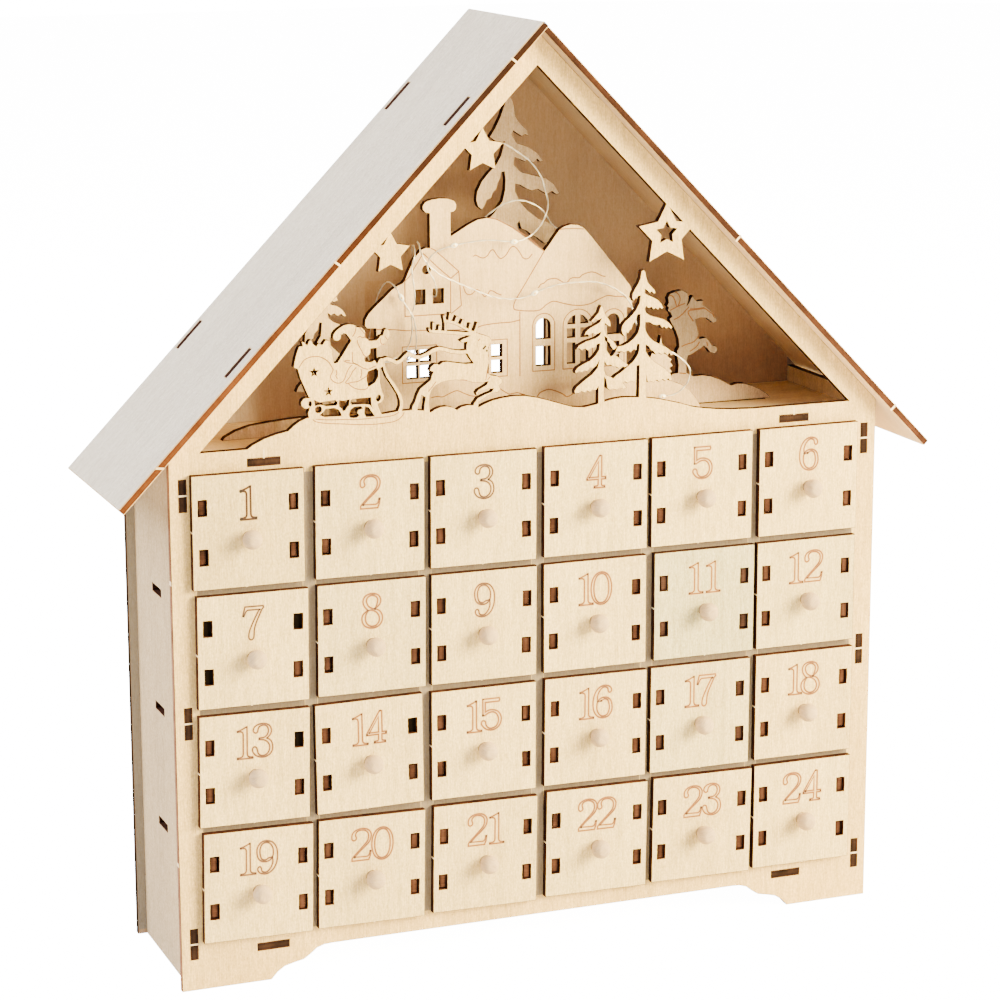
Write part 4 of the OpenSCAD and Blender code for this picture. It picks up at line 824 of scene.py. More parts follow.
# each numeral: list of (points, smooth) closed outlines in mm about its centre, and its corner dots
def numerals():
    D = {}
    one = [(0.75, 6.45), (-0.5, 5.8), (-1.7, 5.3), (-2.85, 4.95), (-2.75, 4.65)] + bez((-2.75, 4.65), (-1.2, 4.9), (-0.6, 4.5), (-0.6, 3.2)) + [(-0.6, -4.3)] \
        + bez((-0.6, -4.3), (-0.65, -5.6), (-1.5, -5.85), (-2.85, -5.85)) + [(-2.85, -6.35), (3.15, -6.35), (3.15, -5.85)] \
        + bez((3.15, -5.85), (1.7, -5.85), (1.05, -5.6), (1.0, -4.3)) + [(0.95, 6.45)]
    D['1'] = ([one], [(0.8, 6.35), (-2.8, 4.8), (-2.8, -6.1), (3.1, -6.1)], 3.1)
    two = [(-4.0, 2.2), (-3.2, 2.5), (-2.9, 3.2), (-3.2, 4.1), (-3.2, 5.0), (-2.4, 6.0), (-1.0, 6.35), (0.6, 6.1), (1.8, 5.2), (2.2, 3.8), (1.9, 2.0), (0.6, 0.3),
           (-1.6, -1.9), (-4.1, -4.4), (-4.7, -5.3)]
    two = [tuple(p) for p in smooth_line(two, False, 0.7)]
    two += [(-4.7, -6.2), (2.3, -6.2), (2.9, -4.6), (3.2, -2.6), (2.8, -2.6)]
    two += bez((2.8, -2.6), (2.6, -4.2), (2.2, -4.8), (1.2, -4.8)) + [(-3.6, -4.65)]
    back = [(-3.6, -4.65), (-1.6, -2.6), (0.7, -0.6), (2.6, 1.4), (3.3, 3.6), (3.0, 5.2), (1.6, 6.6), (-0.8, 7.0), (-3.2, 6.4), (-4.6, 5.0), (-4.8, 3.4), (-4.6, 2.6), (-4.0, 2.2)]
    two += [tuple(p) for p in smooth_line(back, False, 0.7)][1:-1]
    D['2'] = ([two], [(-3.6, -4.65), (3.0, -2.7)], 4.2)
    three = [(-2.0, 0.85), (-0.2, 0.6), (1.2, -0.2), (2.1, -1.6), (2.2, -3.2), (1.5, -4.8), (0.0, -5.7), (-1.4, -5.6), (-2.4, -4.7), (-2.8, -3.3), (-3.1, -2.3),
             (-3.9, -1.9), (-4.6, -2.4), (-4.7, -3.6), (-3.7, -5.2), (-1.8, -6.2), (0.2, -6.35), (2.2, -5.5), (3.3, -3.8), (3.4, -1.8), (2.7, 0.1), (1.2, 1.15)]
    three = [tuple(p) for p in smooth_line(three, False, 0.7)]
    t2 = [(1.2, 1.15), (2.6, 2.7), (2.95, 4.5), (2.1, 6.3), (0.2, 7.15), (-2.0, 7.1), (-3.8, 6.2), (-4.4, 4.8), (-4.1, 4.0), (-3.4, 3.6), (-2.7, 3.9), (-2.5, 4.7),
          (-2.2, 5.7), (-1.3, 6.4), (0.0, 6.55), (1.2, 5.9), (1.75, 4.4), (1.4, 2.8), (0.2, 1.65), (-1.9, 1.45)]
    three += [tuple(p) for p in smooth_line(t2, False, 0.7)][1:]
    D['3'] = ([three], [(-2.0, 1.15), (1.2, 1.15)], 4.05)
    four_o = [(1.0, 7.0), (0.6, 6.8), (-4.75, -2.1), (-4.75, -2.7), (0.15, -2.7), (0.1, -4.9)] + bez((0.1, -4.9), (0.05, -5.3), (-0.5, -5.4), (-1.5, -5.4), 4) \
        + [(-1.6, -6.1), (3.0, -6.1), (2.9, -5.4)] + bez((2.9, -5.4), (2.1, -5.4), (1.55, -5.3), (1.55, -4.9), 4) + [(1.55, -2.7), (3.4, -2.7), (3.4, -1.75), (1.65, -1.75), (1.6, 6.8)]
    four_i = [(0.2, 4.5), (0.2, -1.75), (-3.6, -1.75)]
    D['4'] = ([four_o, four_i], [(0.9, 6.9), (-3.7, -1.8), (3.3, -2.2), (-1.5, -5.8), (2.9, -5.8), (-4.6, -2.5)], 4.1)
    f1 = [(-4.0, 6.9), (3.0, 6.9), (3.25, 6.2), (2.95, 5.5), (-2.9, 5.5), (-2.9, 1.5)]
    f2 = [(-2.9, 1.5), (-1.4, 2.2), (0.4, 2.2), (2.4, 1.4), (3.7, -0.4), (3.9, -2.4), (3.2, -4.4), (1.6, -5.8), (-0.6, -6.2), (-2.6, -5.6), (-3.9, -4.4), (-4.6, -3.2),
          (-4.3, -2.2), (-3.5, -2.0), (-2.8, -2.6), (-2.6, -3.9), (-1.6, -5.1), (-0.2, -5.4), (1.6, -4.8), (2.6, -3.2), (2.7, -1.4), (1.9, 0.4), (0.4, 1.3), (-1.4, 1.1), (-3.1, 0.1)]
    five = f1 + [tuple(p) for p in smooth_line(f2, False, 0.7)][1:] + [(-3.9, 0.1)]
    D['5'] = ([five], [(-3.9, 0.2), (-3.9, 6.8)], 4.25)
    s_o = [(-1.9, 0.5), (-2.1, 2.4), (-1.3, 4.6), (0.1, 6.1), (1.4, 6.3), (2.4, 5.7), (2.6, 4.6), (3.1, 3.9), (3.8, 4.1), (4.1, 5.0), (3.4, 6.3), (1.5, 7.05),
           (-0.6, 6.7), (-2.5, 5.1), (-3.7, 2.4), (-4.0, -0.8), (-3.5, -3.6), (-1.9, -5.8), (0.4, -6.6), (2.6, -6.1), (4.1, -4.2), (4.4, -2.0), (3.9, 0.3), (2.6, 1.7),
           (0.7, 2.1), (-1.0, 1.5), (-1.9, 0.5)]
    s_o = [tuple(p) for p in smooth_line(s_o, False, 0.7)][:-1]
    s_i = [tuple(p) for p in smooth_line([(-0.4, 0.6), (0.9, 1.3), (2.4, 0.8), (3.1, -1.2), (3.1, -3.4), (2.2, -5.3), (0.6, -5.8), (-0.9, -5.3), (-2.1, -3.4), (-2.3, -1.2), (-1.9, 0.3)], True, 0.7)]
    D['6'] = ([s_o, s_i], [(-1.9, 0.5), (-0.4, 0.6)], 4.2)
    se = [(-3.0, 6.65), (4.25, 6.6), (4.45, 6.0), (3.7, 5.1)] + [tuple(p) for p in smooth_line([(3.7, 5.1), (2.7, 2.9), (1.4, 0.0), (0.7, -2.4), (0.5, -5.0), (0.3, -5.9), (-0.3, -6.5), (-0.9, -6.5),
          (-1.5, -5.9), (-1.6, -4.8), (-1.2, -2.8), (0.2, 0.4), (1.6, 3.2), (2.7, 5.25)], False, 0.7)][1:] + [(-1.7, 5.3)] \
        + bez((-1.7, 5.3), (-2.6, 5.2), (-2.9, 4.2), (-3.4, 3.0)) + [(-3.9, 3.1)]
    D['7'] = ([se], [(-3.6, 3.0), (2.9, 5.15)], 4.15)
    e_o = [(-2.0, 0.45), (-3.3, 2.0), (-3.9, 4.0), (-3.2, 5.9), (-1.5, 6.9), (0.6, 7.0), (2.5, 6.2), (3.4, 4.4), (3.0, 2.5), (1.1, 0.75)]
    e_o = [tuple(p) for p in smooth_line(e_o, False, 0.7)]
    e_2 = [(1.1, 0.75), (2.8, 0.0), (3.9, -1.6), (4.1, -3.6), (3.2, -5.6), (1.2, -6.8), (-1.2, -6.8), (-3.4, -5.6), (-4.3, -3.6), (-4.0, -1.4), (-2.0, 0.45)]
    e_o += [tuple(p) for p in smooth_line(e_2, False, 0.7)][1:-1]
    e_t = [tuple(p) for p in smooth_line([(-1.7, 2.1), (-2.5, 4.2), (-1.8, 5.7), (-0.2, 6.3), (1.5, 5.7), (2.2, 4.2), (1.7, 2.2), (0.9, 0.9), (-0.4, 1.2)], True, 0.7)]
    e_b = [tuple(p) for p in smooth_line([(-1.7, 0.2), (-2.7, -1.4), (-2.9, -3.4), (-2.2, -5.1), (-0.6, -6.1), (1.3, -5.9), (2.6, -4.6), (2.8, -2.6), (1.6, -0.6), (-0.2, 0.3)], True, 0.7)]
    D['8'] = ([e_o, e_t, e_b], [(-1.9, 0.35), (1.1, 0.8)], 4.2)
    D['9'] = ([[(-x, -y + 0.3) for x, y in s_o], [(-x, -y + 0.3) for x, y in s_i]], [(1.9, -0.2)], 4.25)
    D['0'] = ([ell(0, 0, 4.45, 6.7, 44, 2.15), ell(0, 0, 3.25, 6.0, 40, 2.2)], [], 4.45)
    return D


NUM = numerals()
WIDTH = {10: 14.1, 11: 13.6, 12: 15, 13: 14.2, 14: 13.9, 15: 14.4, 16: 14.2, 17: 13.6, 18: 14.2, 19: 15, 20: 17.3, 21: 15.3, 22: 16.6, 23: 16.7, 24: 17.6}
HALF = {'1': 3.0, '2': 4.1, '3': 4.1, '4': 4.1, '5': 4.2, '6': 4.2, '7': 4.15, '8': 4.2, '9': 4.2, '0': 4.45}
MIDX = {'1': 0.1, '2': -0.75, '3': -0.65, '4': -0.65, '5': -0.35, '6': 0.2, '7': 0.3, '8': -0.1, '9': -0.2, '0': 0.0}


def number_mesh(name, n, line, dots, w, cy):
    s = str(n)
    if len(s) == 1:
        at = [(s, -MIDX[s])]
    else:
        W = WIDTH[n]
        at = [(s[0], -W / 2 + HALF[s[0]] - MIDX[s[0]]), (s[1], W / 2 - HALF[s[1]] - MIDX[s[1]])]

    def draw(bm):
        r = random.Random(n)
        for i, (ch, ox) in enumerate(at):
            outlines, spots, half = NUM[ch]
            for o in outlines:
                line_pts = [(x + ox, y + cy) for x, y in o]
                ribbon(bm, line_pts, w + 0.42, True, 0.010 + 0.002 * i, 2)
                ribbon(bm, line_pts, w, True, 0.018 + 0.004 * i, 0)
            for x, y in spots:
                dot(bm, x + ox, y + cy, r.uniform(0.28, 0.44) * (w / 0.46), 0.03, 1)
    return lines_mesh(name, draw, (line, dots, M_HALO))


# ------------------------------------------------------------------ drawers
COL, ROW = 47.6, [184.5, 137.0, 89.3, 41.7]
JOG = [[-0.9, 0.1, -0.2], [0.4, 0, -0.4], [-0.1, 0, -0.3], [0.1, 0, -0.2], [-1.1, 0, 0], [-0.9, 0, 0.1],
       [0, 0.2, -0.5], [0.6, 0.2, -0.5], [-0.1, 0, -0.4], [-0.1, 0, 0], [0.5, 0, -0.1], [-1.1, 0, 0],
       [-0.4, 0.2, -0.9], [-0.9, 0.2, 0.5], [-0.4, 0, -0.2], [0.3, 0, -0.5], [-0.8, -0.1, -0.3], [-1.1, 0, -0.2],
       [0.2, 0.3, -1], [-0.6, 0, -0.9], [0, -0.1, -0.8], [1, 0.1, -0.8], [0.6, 0, -0.8], [-1, 0.2, -0.2]]
FW, FH, TD = 44.6, 44.8, 58.0
LO, HI = 21.4, 19.2
# veneer tint of each front: overall level and warmth
TINT = {1: (0.88, 0.86, 0.82), 2: (0.95, 0.95, 0.95), 3: (0.985, 0.975, 0.95), 4: (1.0, 0.99, 0.96), 5: (1.01, 0.985, 0.94), 6: (1.01, 0.975, 0.92),
        7: (0.99, 0.975, 0.945), 8: (0.92, 0.93, 0.95), 9: (0.985, 0.97, 0.93), 10: (1.0, 0.985, 0.955), 11: (0.76, 0.86, 0.97), 12: (0.92, 0.93, 0.92),
        13: (0.99, 0.97, 0.93), 14: (1.0, 0.98, 0.94), 15: (1.0, 0.985, 0.955), 16: (0.99, 0.97, 0.93), 17: (0.90, 0.94, 0.98), 18: (1.0, 0.965, 0.91),
        19: (0.99, 0.97, 0.93), 20: (0.99, 0.98, 0.95), 21: (0.99, 0.975, 0.945), 22: (0.985, 0.985, 0.965), 23: (1.0, 0.98, 0.945), 24: (1.0, 0.985, 0.955)}


def rect_loop(x0, x1, y0, y1):
    return [(x0, y0), (x1, y0), (x1, y1), (x0, y1)]


def ragged(r, x, z):
    """A laser slot, burnt wider on one or two sides."""
    l, t = r.choice(((0.38, 0.10), (0.10, 0.34), (0.30, 0.30), (0.42, 0.22))), r.choice(((0.32, 0.08), (0.08, 0.30), (0.24, 0.20)))
    x0, x1, z0, z1 = x - 1.5 - l[0], x + 1.5 + l[1], z - 2.9 - t[0], z + 2.9 + t[1]

    def w(k=0.10):
        return r.uniform(-k, k)
    out = []
    for i in range(4):
        out.append((x0 + (x1 - x0) * i / 4 + w(0.15) * (i > 0), z0 + w(0.07)))
    for i in range(6):
        out.append((x1 + w(0.07), z0 + (z1 - z0) * i / 6 + w(0.15) * (i > 0)))
    for i in range(4):
        out.append((x1 - (x1 - x0) * i / 4 + w(0.15) * (i > 0), z1 + w(0.07)))
    for i in range(6):
        out.append((x0 + w(0.07), z1 - (z1 - z0) * i / 6 + w(0.15) * (i > 0)))
    return out


def drawer_front(n, M):
    """Front board with slots, knob hole, nicks and number, in the drawer's own frame (mm), y into the house."""
    r = random.Random(100 + n)
    loops = [rect_loop(-FW / 2, FW / 2, -FH / 2, FH / 2)]
    for x in (-18, 18):
        for z in (-9.6, 9.6):
            loops.append(ragged(r, x, z))
    loops.append([(2.3 * math.cos(i * math.pi / 16), -3 + 2.3 * math.sin(i * math.pi / 16)) for i in range(32)])
    me = sheet_mesh("front", loops, 3.0, 0.20, (M_FRONT, M_FRONT_EDGE))
    u, v, nn = X, Z, -Y
    place(me, u, v, nn, (0, -1.5, 0))
    parts = [me]
    # uncut nicks at the middle of the left and the bottom edge
    for (x0, x1, z0, z1) in ((-FW / 2 - 0.10, -FW / 2 + 0.25, -0.4 + r.uniform(-1, 1), 0.0), (0, 0, 0, 0)):
        if x0 == x1:
            xc = r.uniform(-1.5, 1.0)
            nick = box_mesh("nick", xc - 0.30, xc + 0.30, -2.95, -0.4, -FH / 2 - 0.10, -FH / 2 + 0.25, M_NICK)
        else:
            nick = box_mesh("nick", x0, x1, -2.95, -0.4, z0, z0 + 0.55, M_NICK)
        nick.transform(Matrix.Scale(MM, 4))
        parts.append(nick)
    w = 0.80 if n == 1 else 0.60
    line = {1: M_LINE_DK_AND_JOINT_SHADOW, 3: M_LINE_GY, 7: M_LINE_GY, 9: M_LINE_MID, 13: M_LINE_MID, 19: M_LINE_MID}.get(n, M_LINE)
    dts = {1: M_DOT_DK, 3: M_DOT_DK, 7: M_DOT_DK}.get(n, M_DOT)
    num = number_mesh("number", n, line, dts, w, 10.4)
    place(num, u, v, nn, (0, -3.0, 0))
    parts.append(num)
    for p in parts:
        p.transform(M)
    g = (M.to_3x3() @ Z).normalized()
    off = Vector((r.uniform(-900, 900), r.uniform(-900, 900), 0))
    for p in parts:
        set_attrs(p, g, -X, -Y, TINT[n], off, -(-1.5 - YM - 0.1))
    return join_meshes("drawer_%02d_front" % n, parts)


# slots where no tab end reaches the face: drawer, side, upper (1) or lower (-1)
SHORT = {(7, -18, 1), (7, -18, -1), (7, 18, 1), (13, 18, 1), (14, 18, 1)}


def drawer_tray(n, M):
    r = random.Random(300 + n)
    parts = []

    def add(me, grain, cross, nrm, mid):
        me.transform(M)
        set_attrs(me, M.to_3x3() @ Vector(grain), M.to_3x3() @ Vector(cross), M.to_3x3() @ Vector(nrm),
                  shade(TINT[n], r.uniform(0.96, 1.02)), None, mid)
        parts.append(me)

    def world_mid(nrm, d):
        return (M @ (Vector(nrm) * d * MM)).dot(M.to_3x3() @ Vector(nrm)) * 1000
    # sides with tabs
    for x in (-18, 18):
        out = [(0.05, -LO), (TD, -LO), (TD, HI), (0.05, HI), (0.05, 12.4), (-0.8, 12.4), (-0.8, 6.8), (0.05, 6.8),
               (0.05, -6.8), (-0.8, -6.8), (-0.8, -12.4), (0.05, -12.4)]
        for k in (1, -1):
            if (n, x, k) in SHORT:
                # an empty slot is closed by a near-black plate: painted shade for the dark inside of the drawer
                end = box_mesh("hole", x - 1.8, x + 1.8, -1.3, -0.9, k * 9.6 - 3.2, k * 9.6 + 3.2, M_CHAR_AND_SHADE)
            else:
                g = [r.uniform(0.10, 0.55) for _ in range(4)]
                end = box_mesh("tab_end", x - 1.5 + g[0], x + 1.5 - g[1], -1.75 - r.uniform(0, 0.5), -0.7, k * 9.6 - 2.9 + g[2] * 0.8, k * 9.6 + 2.9 - g[3] * 0.8, M_TAB)
            end.transform(Matrix.Scale(MM, 4))
            add(end, Y, Z, X, world_mid(X, x))
        slots = [rect_loop(21.95, 34.05, -LO + 0.95, -LO + 4.05), rect_loop(TD - 4.55, TD - 1.45, -6.05, 6.05)]
        me = sheet_mesh("side", [out] + slots, 3.0, 0.08, (M_FRONT, M_TAB))
        place(me, Y, Z, X, (x, 0, 0))
        add(me, Y, Z, X, world_mid(X, x))
    me = sheet_mesh("bottom", [[(-16.45, 0.05), (16.45, 0.05), (16.45, 22), (19.5, 22), (19.5, 34), (16.45, 34), (16.45, TD - 4.55), (-16.45, TD - 4.55), (-16.45, 34), (-19.5, 34), (-19.5, 22), (-16.45, 22)]],
                    3.0, 0.08, (M_FRONT, M_EDGE))
    place(me, X, Y, Z, (0, 0, -LO + 2.5))
    add(me, X, Y, Z, world_mid(Z, -LO + 2.5))
    me = sheet_mesh("back", [[(-16.45, -LO + 1), (16.45, -LO + 1), (16.45, -6), (19.5, -6), (19.5, 6), (16.45, 6), (16.45, HI), (-16.45, HI), (-16.45, 6), (-19.5, 6), (-19.5, -6), (-16.45, -6)]],
                    3.0, 0.08, (M_FRONT, M_EDGE))
    place(me, X, Z, -Y, (0, TD - 3, 0))
    add(me, Z, X, -Y, world_mid(-Y, -(TD - 3)))
    return join_meshes("drawer_%02d_tray" % n, parts)


def knob_mesh(n, M):
    """Turned ball on a short neck, its front lightly flattened."""
    r = random.Random(500 + n)
    prof = [(0.0, 0.0), (2.1, 0.0), (2.2, -2.9), (2.0, -3.2), (1.9, -3.8), (2.2, -4.5)]
    cy, R = -7.6, 3.8
    for i in range(1, 16):
        a = math.radians(36 + (152 - 36) * i / 15)
        prof.append((R * math.sin(a), cy + R * math.cos(a)))
    prof += [(1.25, cy - 3.38), (0.6, cy - 3.40), (0.0, cy - 3.40)]
    bm = bmesh.new()
    k = 40
    rings = []
    for (rad, y) in prof:
        if rad < 1e-6:
            rings.append([bm.verts.new((0, y, -3))])
        else:
            rings.append([bm.verts.new((rad * math.cos(2 * math.pi * i / k), y, -3 + rad * math.sin(2 * math.pi * i / k))) for i in range(k)])
    for a, b in zip(rings, rings[1:]):
        for i in range(k):
            j = (i + 1) % k
            if len(a) == 1:
                bm.faces.new((a[0], b[i], b[j]))
            elif len(b) == 1:
                bm.faces.new((a[j], a[i], b[0]))
            else:
                bm.faces.new((a[i], b[i], b[j], a[j]))
    bmesh.ops.recalc_face_normals(bm, faces=bm.faces)
    for f in bm.faces:
        f.smooth = True
    me = bpy.data.meshes.new("knob")
    bm.to_mesh(me)
    bm.free()
    me.materials.append(M_KNOB)
    me.transform(Matrix.Scale(MM, 4))
    tilt = Matrix.Rotation(r.uniform(-0.3, 0.3), 4, 'Y')
    me.transform(M)
    w = r.uniform(0.97, 1.02)
    warm = r.uniform(0.965, 1.0)
    grain = Vector((0.15 * r.uniform(-1, 1), 1, 0.15 * r.uniform(-1, 1))).normalized()
    cross = grain.cross(Vector((math.sin(r.uniform(0, 6)), 0, math.cos(r.uniform(0, 6))))).normalized()
    set_attrs(me, grain, cross, grain.cross(cross), (w, w * (1 + warm) / 2, w * warm), None, 0)
    return join_meshes("drawer_%02d_knob" % n, [me])


for n in range(1, 25):
    c, rr = (n - 1) % 6, (n - 1) // 6
    j = JOG[n - 1]
    M = Matrix.Translation(Vector((COL * (c - 2.5) + j[0], -0.1 - YM, ROW[rr] + j[1])) * MM) @ Matrix.Rotation(math.radians(-j[2]), 4, 'Y')
    body = node = "drawer_%02d" % n
    for ob in (drawer_front(n, M), drawer_tray(n, M), knob_mesh(n, M)):
        add_piece(ob, body, [node])


# ------------------------------------------------------------------ light string
STRING = [
  (-15, 41.3, 218.4), (-15, 39.9, 219.5), (-18, 41, 226), (-22, 43, 240), (-24, 43, 262), (-22, 42.4, 280), (-20, 37.6, 287), (-17, 30, 288.6),
  (-13, 27, 293.6), (-9.4, 26.4, 296.7), (-3, 26, 300.3), (3.4, 26, 301), (9.8, 26, 298.7), (14.1, 27, 295), (18, 29.6, 290.3), (22.6, 33, 287.8),
  (27.5, 37.6, 287.4), (27, 42, 283), (22, 43, 277), (14, 43.6, 275), (6.6, 44, 279), (4.6, 44, 290), (4.8, 44, 300), (4.6, 44, 306), (4.4, 44, 312),
  (3.6, 43.4, 317), (0, 42, 321), (-6, 40.6, 322.6), (-10, 37.5, 322.4), (-9, 33.4, 323.2), (-5, 31, 323.8), (-1.6, 30, 323), (4.6, 30, 319),
  (8.9, 30, 315.8), (13.1, 29.5, 310.1), (14.8, 28.5, 304.1), (15, 26, 298.4), (11, 22, 292.4), (5.2, 17.4, 288.8), (1.5, 15.6, 287.4),
  (-1, 14.8, 286.8), (-4.4, 14.2, 286.5), (-13, 14.6, 287.5), (-18.2, 14.8, 287.6), (-23.4, 15, 287.1), (-29.2, 15, 286.3), (-33.8, 15, 285.2),
  (-37, 15.2, 283.8), (-39, 15.4, 281.8), (-39.9, 15.6, 279.2), (-39.6, 15.4, 276.8), (-38.1, 15.2, 274.4), (-36.9, 15.4, 271.8), (-36, 16.2, 268.4),
  (-35.4, 19.5, 266), (-36, 24, 266.4), (-39, 26, 272), (-42, 26, 280), (-43.8, 22.5, 285.8), (-44.2, 18.5, 285.8), (-45.4, 15.2, 282.4),
  (-46.5, 15, 279.4), (-46.5, 14.8, 275.7), (-45.7, 14.8, 269.7), (-45.7, 15, 263.8), (-46.8, 15.2, 259.6), (-46.5, 15.4, 255), (-47.2, 15.4, 250.1),
  (-49.8, 15.2, 245.3), (-54, 15.2, 242.4), (-61.4, 16, 242.2), (-63.6, 19.5, 243.6), (-61, 25, 250), (-58.6, 26, 260), (-57, 24.4, 268),
  (-55.4, 19.5, 272.8), (-53.2, 15.6, 271.2), (-51.1, 15, 267.1), (-48.2, 14.2, 262), (-46.4, 13.9, 258.6), (-45.4, 14.1, 253), (-45.1, 15.4, 246.6),
  (-45.3, 19.5, 243), (-45.6, 24, 240.6), (-42, 28.5, 246), (-38, 29, 262), (-37.6, 28.5, 278), (-39.6, 25, 284.6), (-41.6, 22.6, 287.4),
  (-42.4, 18.6, 287.2), (-42.8, 15.4, 284.6), (-41.6, 14.4, 281.6), (-39.7, 13.8, 278.8), (-36.6, 13.8, 276.2), (-33.9, 14, 274.4),
  (-25.6, 14.6, 270.5), (-17.3, 14.4, 266.8), (-12, 14.3, 264.9), (-5.7, 14.2, 263.9), (0.7, 14.3, 264.3), (7.1, 14.4, 266.6), (15.6, 14.5, 268.5),
  (24.2, 14.6, 268.8), (30.7, 14.8, 268.4), (37.2, 14.8, 266.3), (42.6, 14.8, 262.9), (45.9, 14.8, 259.2), (47.1, 14.6, 255.6), (48.6, 14, 250),
  (52, 13.4, 245), (58, 12.8, 241.4), (65.6, 12.6, 236.9), (69.4, 12.4, 233.6), (71.2, 12.4, 231.3), (71.6, 12.4, 228.8), (70.4, 12.2, 225.6),
  (68.5, 12.2, 223.3), (64.7, 12.2, 221), (59.1, 12.2, 220.4)]
BEADS = [
  (-23, 43, 251), (14, 43.6, 275), (-4.4, 14.2, 286.5), (-29.2, 15, 286.3), (-51.1, 15, 267.1), (-54, 15.2, 242.4), (-58.6, 26, 260),
  (5, 14.4, 265.8), (52, 13.4, 245), (59.1, 12.2, 220.4)]


def string_mesh():
    P = [Vector((x, y - YM, z)) for x, y, z in STRING]
    pts = smooth_line(P, False, 1.2)
    n = len(pts)
    bm = bmesh.new()
    length = 0.0
    up = Vector((0, 1, 0))
    prev = None
    strands = ([], [])
    frames = []
    s = 0.0
    for i in range(n):
        t = (pts[min(i + 1, n - 1)] - pts[max(i - 1, 0)]).normalized()
        if prev is None:
            a = t.cross(up).normalized()
        else:
            a = (prev - t * prev.dot(t)).normalized()
        b = t.cross(a)
        prev = a
        frames.append((a, b))
        if i:
            s += (pts[i] - pts[i - 1]).length
        ph = s / 9.0 * 2 * math.pi
        for q in (0, 1):
            c = pts[i] + 0.18 * (math.cos(ph + q * math.pi) * a + math.sin(ph + q * math.pi) * b)
            strands[q].append((c, a, b))
    for st in strands:
        rings = []
        for c, a, b in st:
            rings.append([bm.verts.new(c + 0.185 * (math.cos(k * math.pi / 3) * a + math.sin(k * math.pi / 3) * b)) for k in range(6)])
        for r0, r1 in zip(rings, rings[1:]):
            for k in range(6):
                f = bm.faces.new((r0[k], r0[(k + 1) % 6], r1[(k + 1) % 6], r1[k]))
                f.smooth = True
        bm.faces.new(list(reversed(rings[0])))
        bm.faces.new(rings[-1])
    bmesh.ops.recalc_face_normals(bm, faces=bm.faces)
    me = bpy.data.meshes.new("light_string")
    bm.to_mesh(me)
    bm.free()
    me.materials.append(M_WIRE)
    me.transform(Matrix.Scale(MM, 4))
    return me, [p * MM for p in pts], s * MM, pts


def beads_mesh(path):
    parts = []
    for x, y, z in BEADS:
        c = Vector((x, y - YM, z))
        i = min(range(len(path)), key=lambda k: (path[k] - c).length)
        t = (path[min(i + 1, len(path) - 1)] - path[max(i - 1, 0)]).normalized()
        rot = t.to_track_quat('Z', 'Y').to_matrix().to_4x4()
        for rx, rz, off, mat in ((1.05, 1.75, (0, 0, 0), M_DROP), (0.42, 0.55, (0, -0.80, 0), M_CHIP)):
            bm = bmesh.new()
            bmesh.ops.create_uvsphere(bm, u_segments=20, v_segments=12, radius=1.0)
            bmesh.ops.scale(bm, vec=(rx, rx, rz), verts=bm.verts)
            for f in bm.faces:
                f.smooth = True
            me = bpy.data.meshes.new("bead")
            bm.to_mesh(me)
            bm.free()
            me.transform(Matrix.Scale(MM, 4) @ Matrix.Translation(path[i] + Vector(off)) @ rot)
            me.materials.append(mat)
            parts.append(me)
    return join_meshes("led_drops", parts)


sm, path_m, cord_len, path_mm = string_mesh()
wire = join_meshes("fairy_wire", [sm])
drops = beads_mesh(path_mm)
add_piece(wire, "house", ["light_string"])
add_piece(drops, "house", ["led_beads"])


# ------------------------------------------------------------------ battery box and small parts
def bevelled(node, name, mats, width, body, pick=None, segs=2):
    bm = bmesh.new()
    bm.from_mesh(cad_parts[node].data)
    bmesh.ops.remove_doubles(bm, verts=bm.verts, dist=2e-6)
    bmesh.ops.dissolve_limit(bm, angle_limit=math.radians(1), verts=bm.verts, edges=bm.edges)
    if width:
        es = [e for e in bm.edges if len(e.link_faces) == 2 and e.calc_face_angle(0) > math.radians(40)]
        bmesh.ops.bevel(bm, geom=es, offset=width * MM, segments=segs, affect='EDGES', profile=0.6, clamp_overlap=True)
    bmesh.ops.triangulate(bm, faces=bm.faces)
    bm.normal_update()
    for f in bm.faces:
        f.material_index = pick(f) if pick else 0
        f.smooth = False
    me = bpy.data.meshes.new(name)
    bm.to_mesh(me)
    bm.free()
    for m in mats:
        me.materials.append(m)
    set_attrs(me, X, Y, Z)
    ob = join_meshes(name, [me])
    add_piece(ob, body, [node])
    return ob


bevelled("battery_box", "battery_case", [M_PLASTIC], 0.15, "house")
bevelled("battery_cover", "battery_lid", [M_PLASTIC], 0.12, "cover")
bevelled("switch_slider", "switch_button", [M_BLACK], 0.15, "switch")
bevelled("button_cells", "coin_cells", [M_STEEL], 0.12, "house")
bevelled("contact_springs", "contacts", [M_BRASS], 0.06, "house")
bevelled("base_runners", "runner_strips", [M_FACE, M_EDGE], 0.08, "house", lambda f: 0 if abs(f.normal.z) > 0.9 else 1)


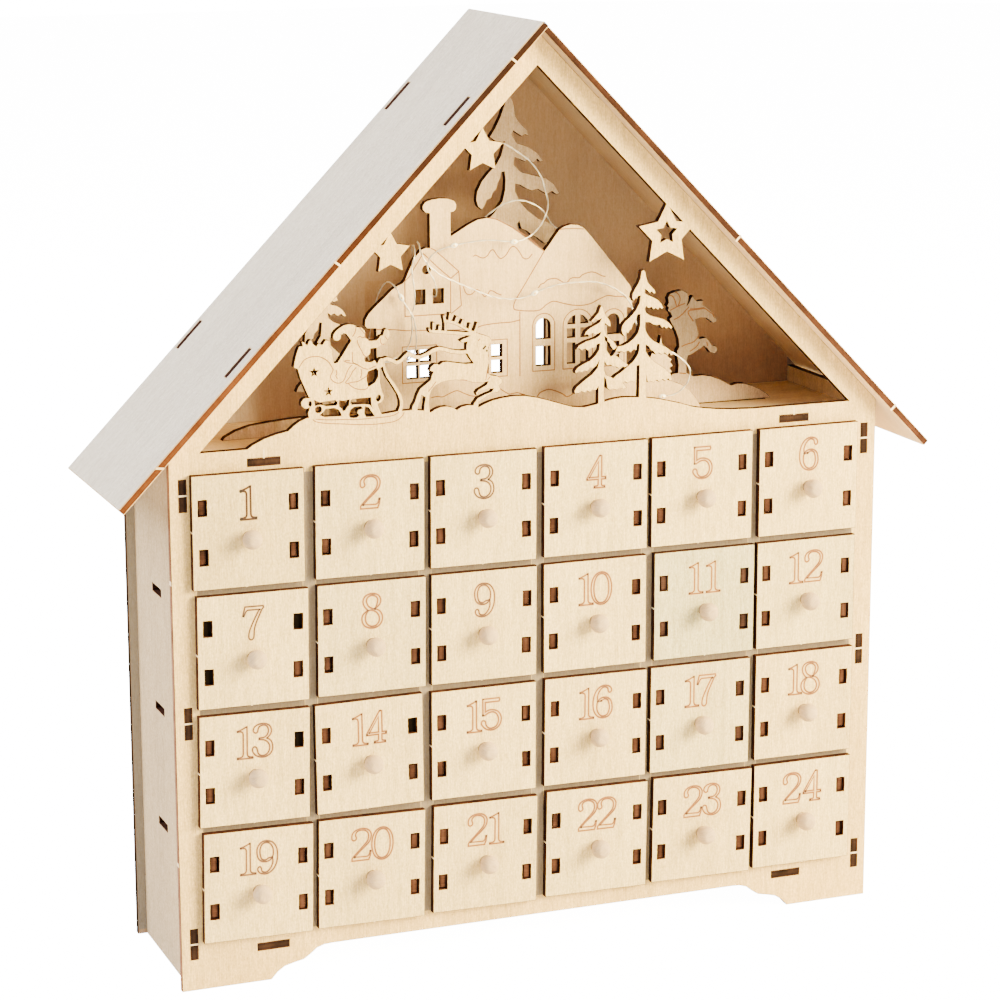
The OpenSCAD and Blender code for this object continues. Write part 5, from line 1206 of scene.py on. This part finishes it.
# ------------------------------------------------------------------ stage and light
def glow(name, base, strength):
    m, nt, b = new_mat(name)
    b.inputs["Base Color"].default_value = base + (1,)
    b.inputs["Roughness"].default_value = 0.9
    b.inputs["Specular IOR Level"].default_value = 0.0
    b.inputs["Emission Color"].default_value = (1, 1, 1, 1)
    b.inputs["Emission Strength"].default_value = strength
    return m


def stage_piece(name, draw, mat, camera, bounce, z=0.0):
    bm = bmesh.new()
    draw(bm)
    me = bpy.data.meshes.new(name)
    bm.to_mesh(me)
    bm.free()
    me.materials.append(mat)
    ob = bpy.data.objects.new(name, me)
    ob.location = (0, 0, z)
    scene.collection.objects.link(ob)
    ob.visible_camera = camera
    for k in ("visible_diffuse", "visible_glossy", "visible_transmission"):
        setattr(ob, k, bounce)
    ob.visible_shadow = bounce
    return ob


def stage():
    # the floor and backdrop the camera sees, and a plain pale floor that gives the bounce
    stage_piece("floor", lambda bm: bmesh.ops.create_grid(bm, x_segments=1, y_segments=1, size=5.5), glow("pale_floor", (0.9, 0.9, 0.9), 15.0), True, False, -0.0003)
    stage_piece("backdrop", lambda bm: bmesh.ops.create_uvsphere(bm, u_segments=32, v_segments=16, radius=6.0), glow("pale_backdrop", (0.5, 0.5, 0.5), 20.0), True, False)
    stage_piece("bounce_floor", lambda bm: bmesh.ops.create_grid(bm, x_segments=1, y_segments=1, size=2.5), glow("bounce", (0.85, 0.82, 0.76), 0.0), False, True, -0.0006)
    w = bpy.data.worlds.new("studio")
    scene.world = w
    w.use_nodes = True
    bg = w.node_tree.nodes["Background"]
    bg.inputs[0].default_value = (0.96, 0.98, 1.0, 1)
    bg.inputs[1].default_value = 0.35


def area(name, at, aim, size, power, color=(1, 1, 1)):
    li = bpy.data.lights.new(name, 'AREA')
    li.energy = power
    li.size = size
    li.color = color
    ob = bpy.data.objects.new(name, li)
    ob.location = at
    ob.rotation_euler = (Vector(aim) - Vector(at)).to_track_quat('-Z', 'Y').to_euler()
    scene.collection.objects.link(ob)


stage()
WARM = (1.0, 0.81, 0.41)
area("key", (1.16, -1.03, 0.78), (0, 0, 0.2), 1.0, 244, WARM)
area("front", (-0.3, -2.6, 0.9), (0, 0, 0.2), 2.2, 14, (1.0, 0.97, 0.93))
area("side", (-1.6, 0.35, 1.5), (-0.1, 0, 0.2), 1.6, 141)
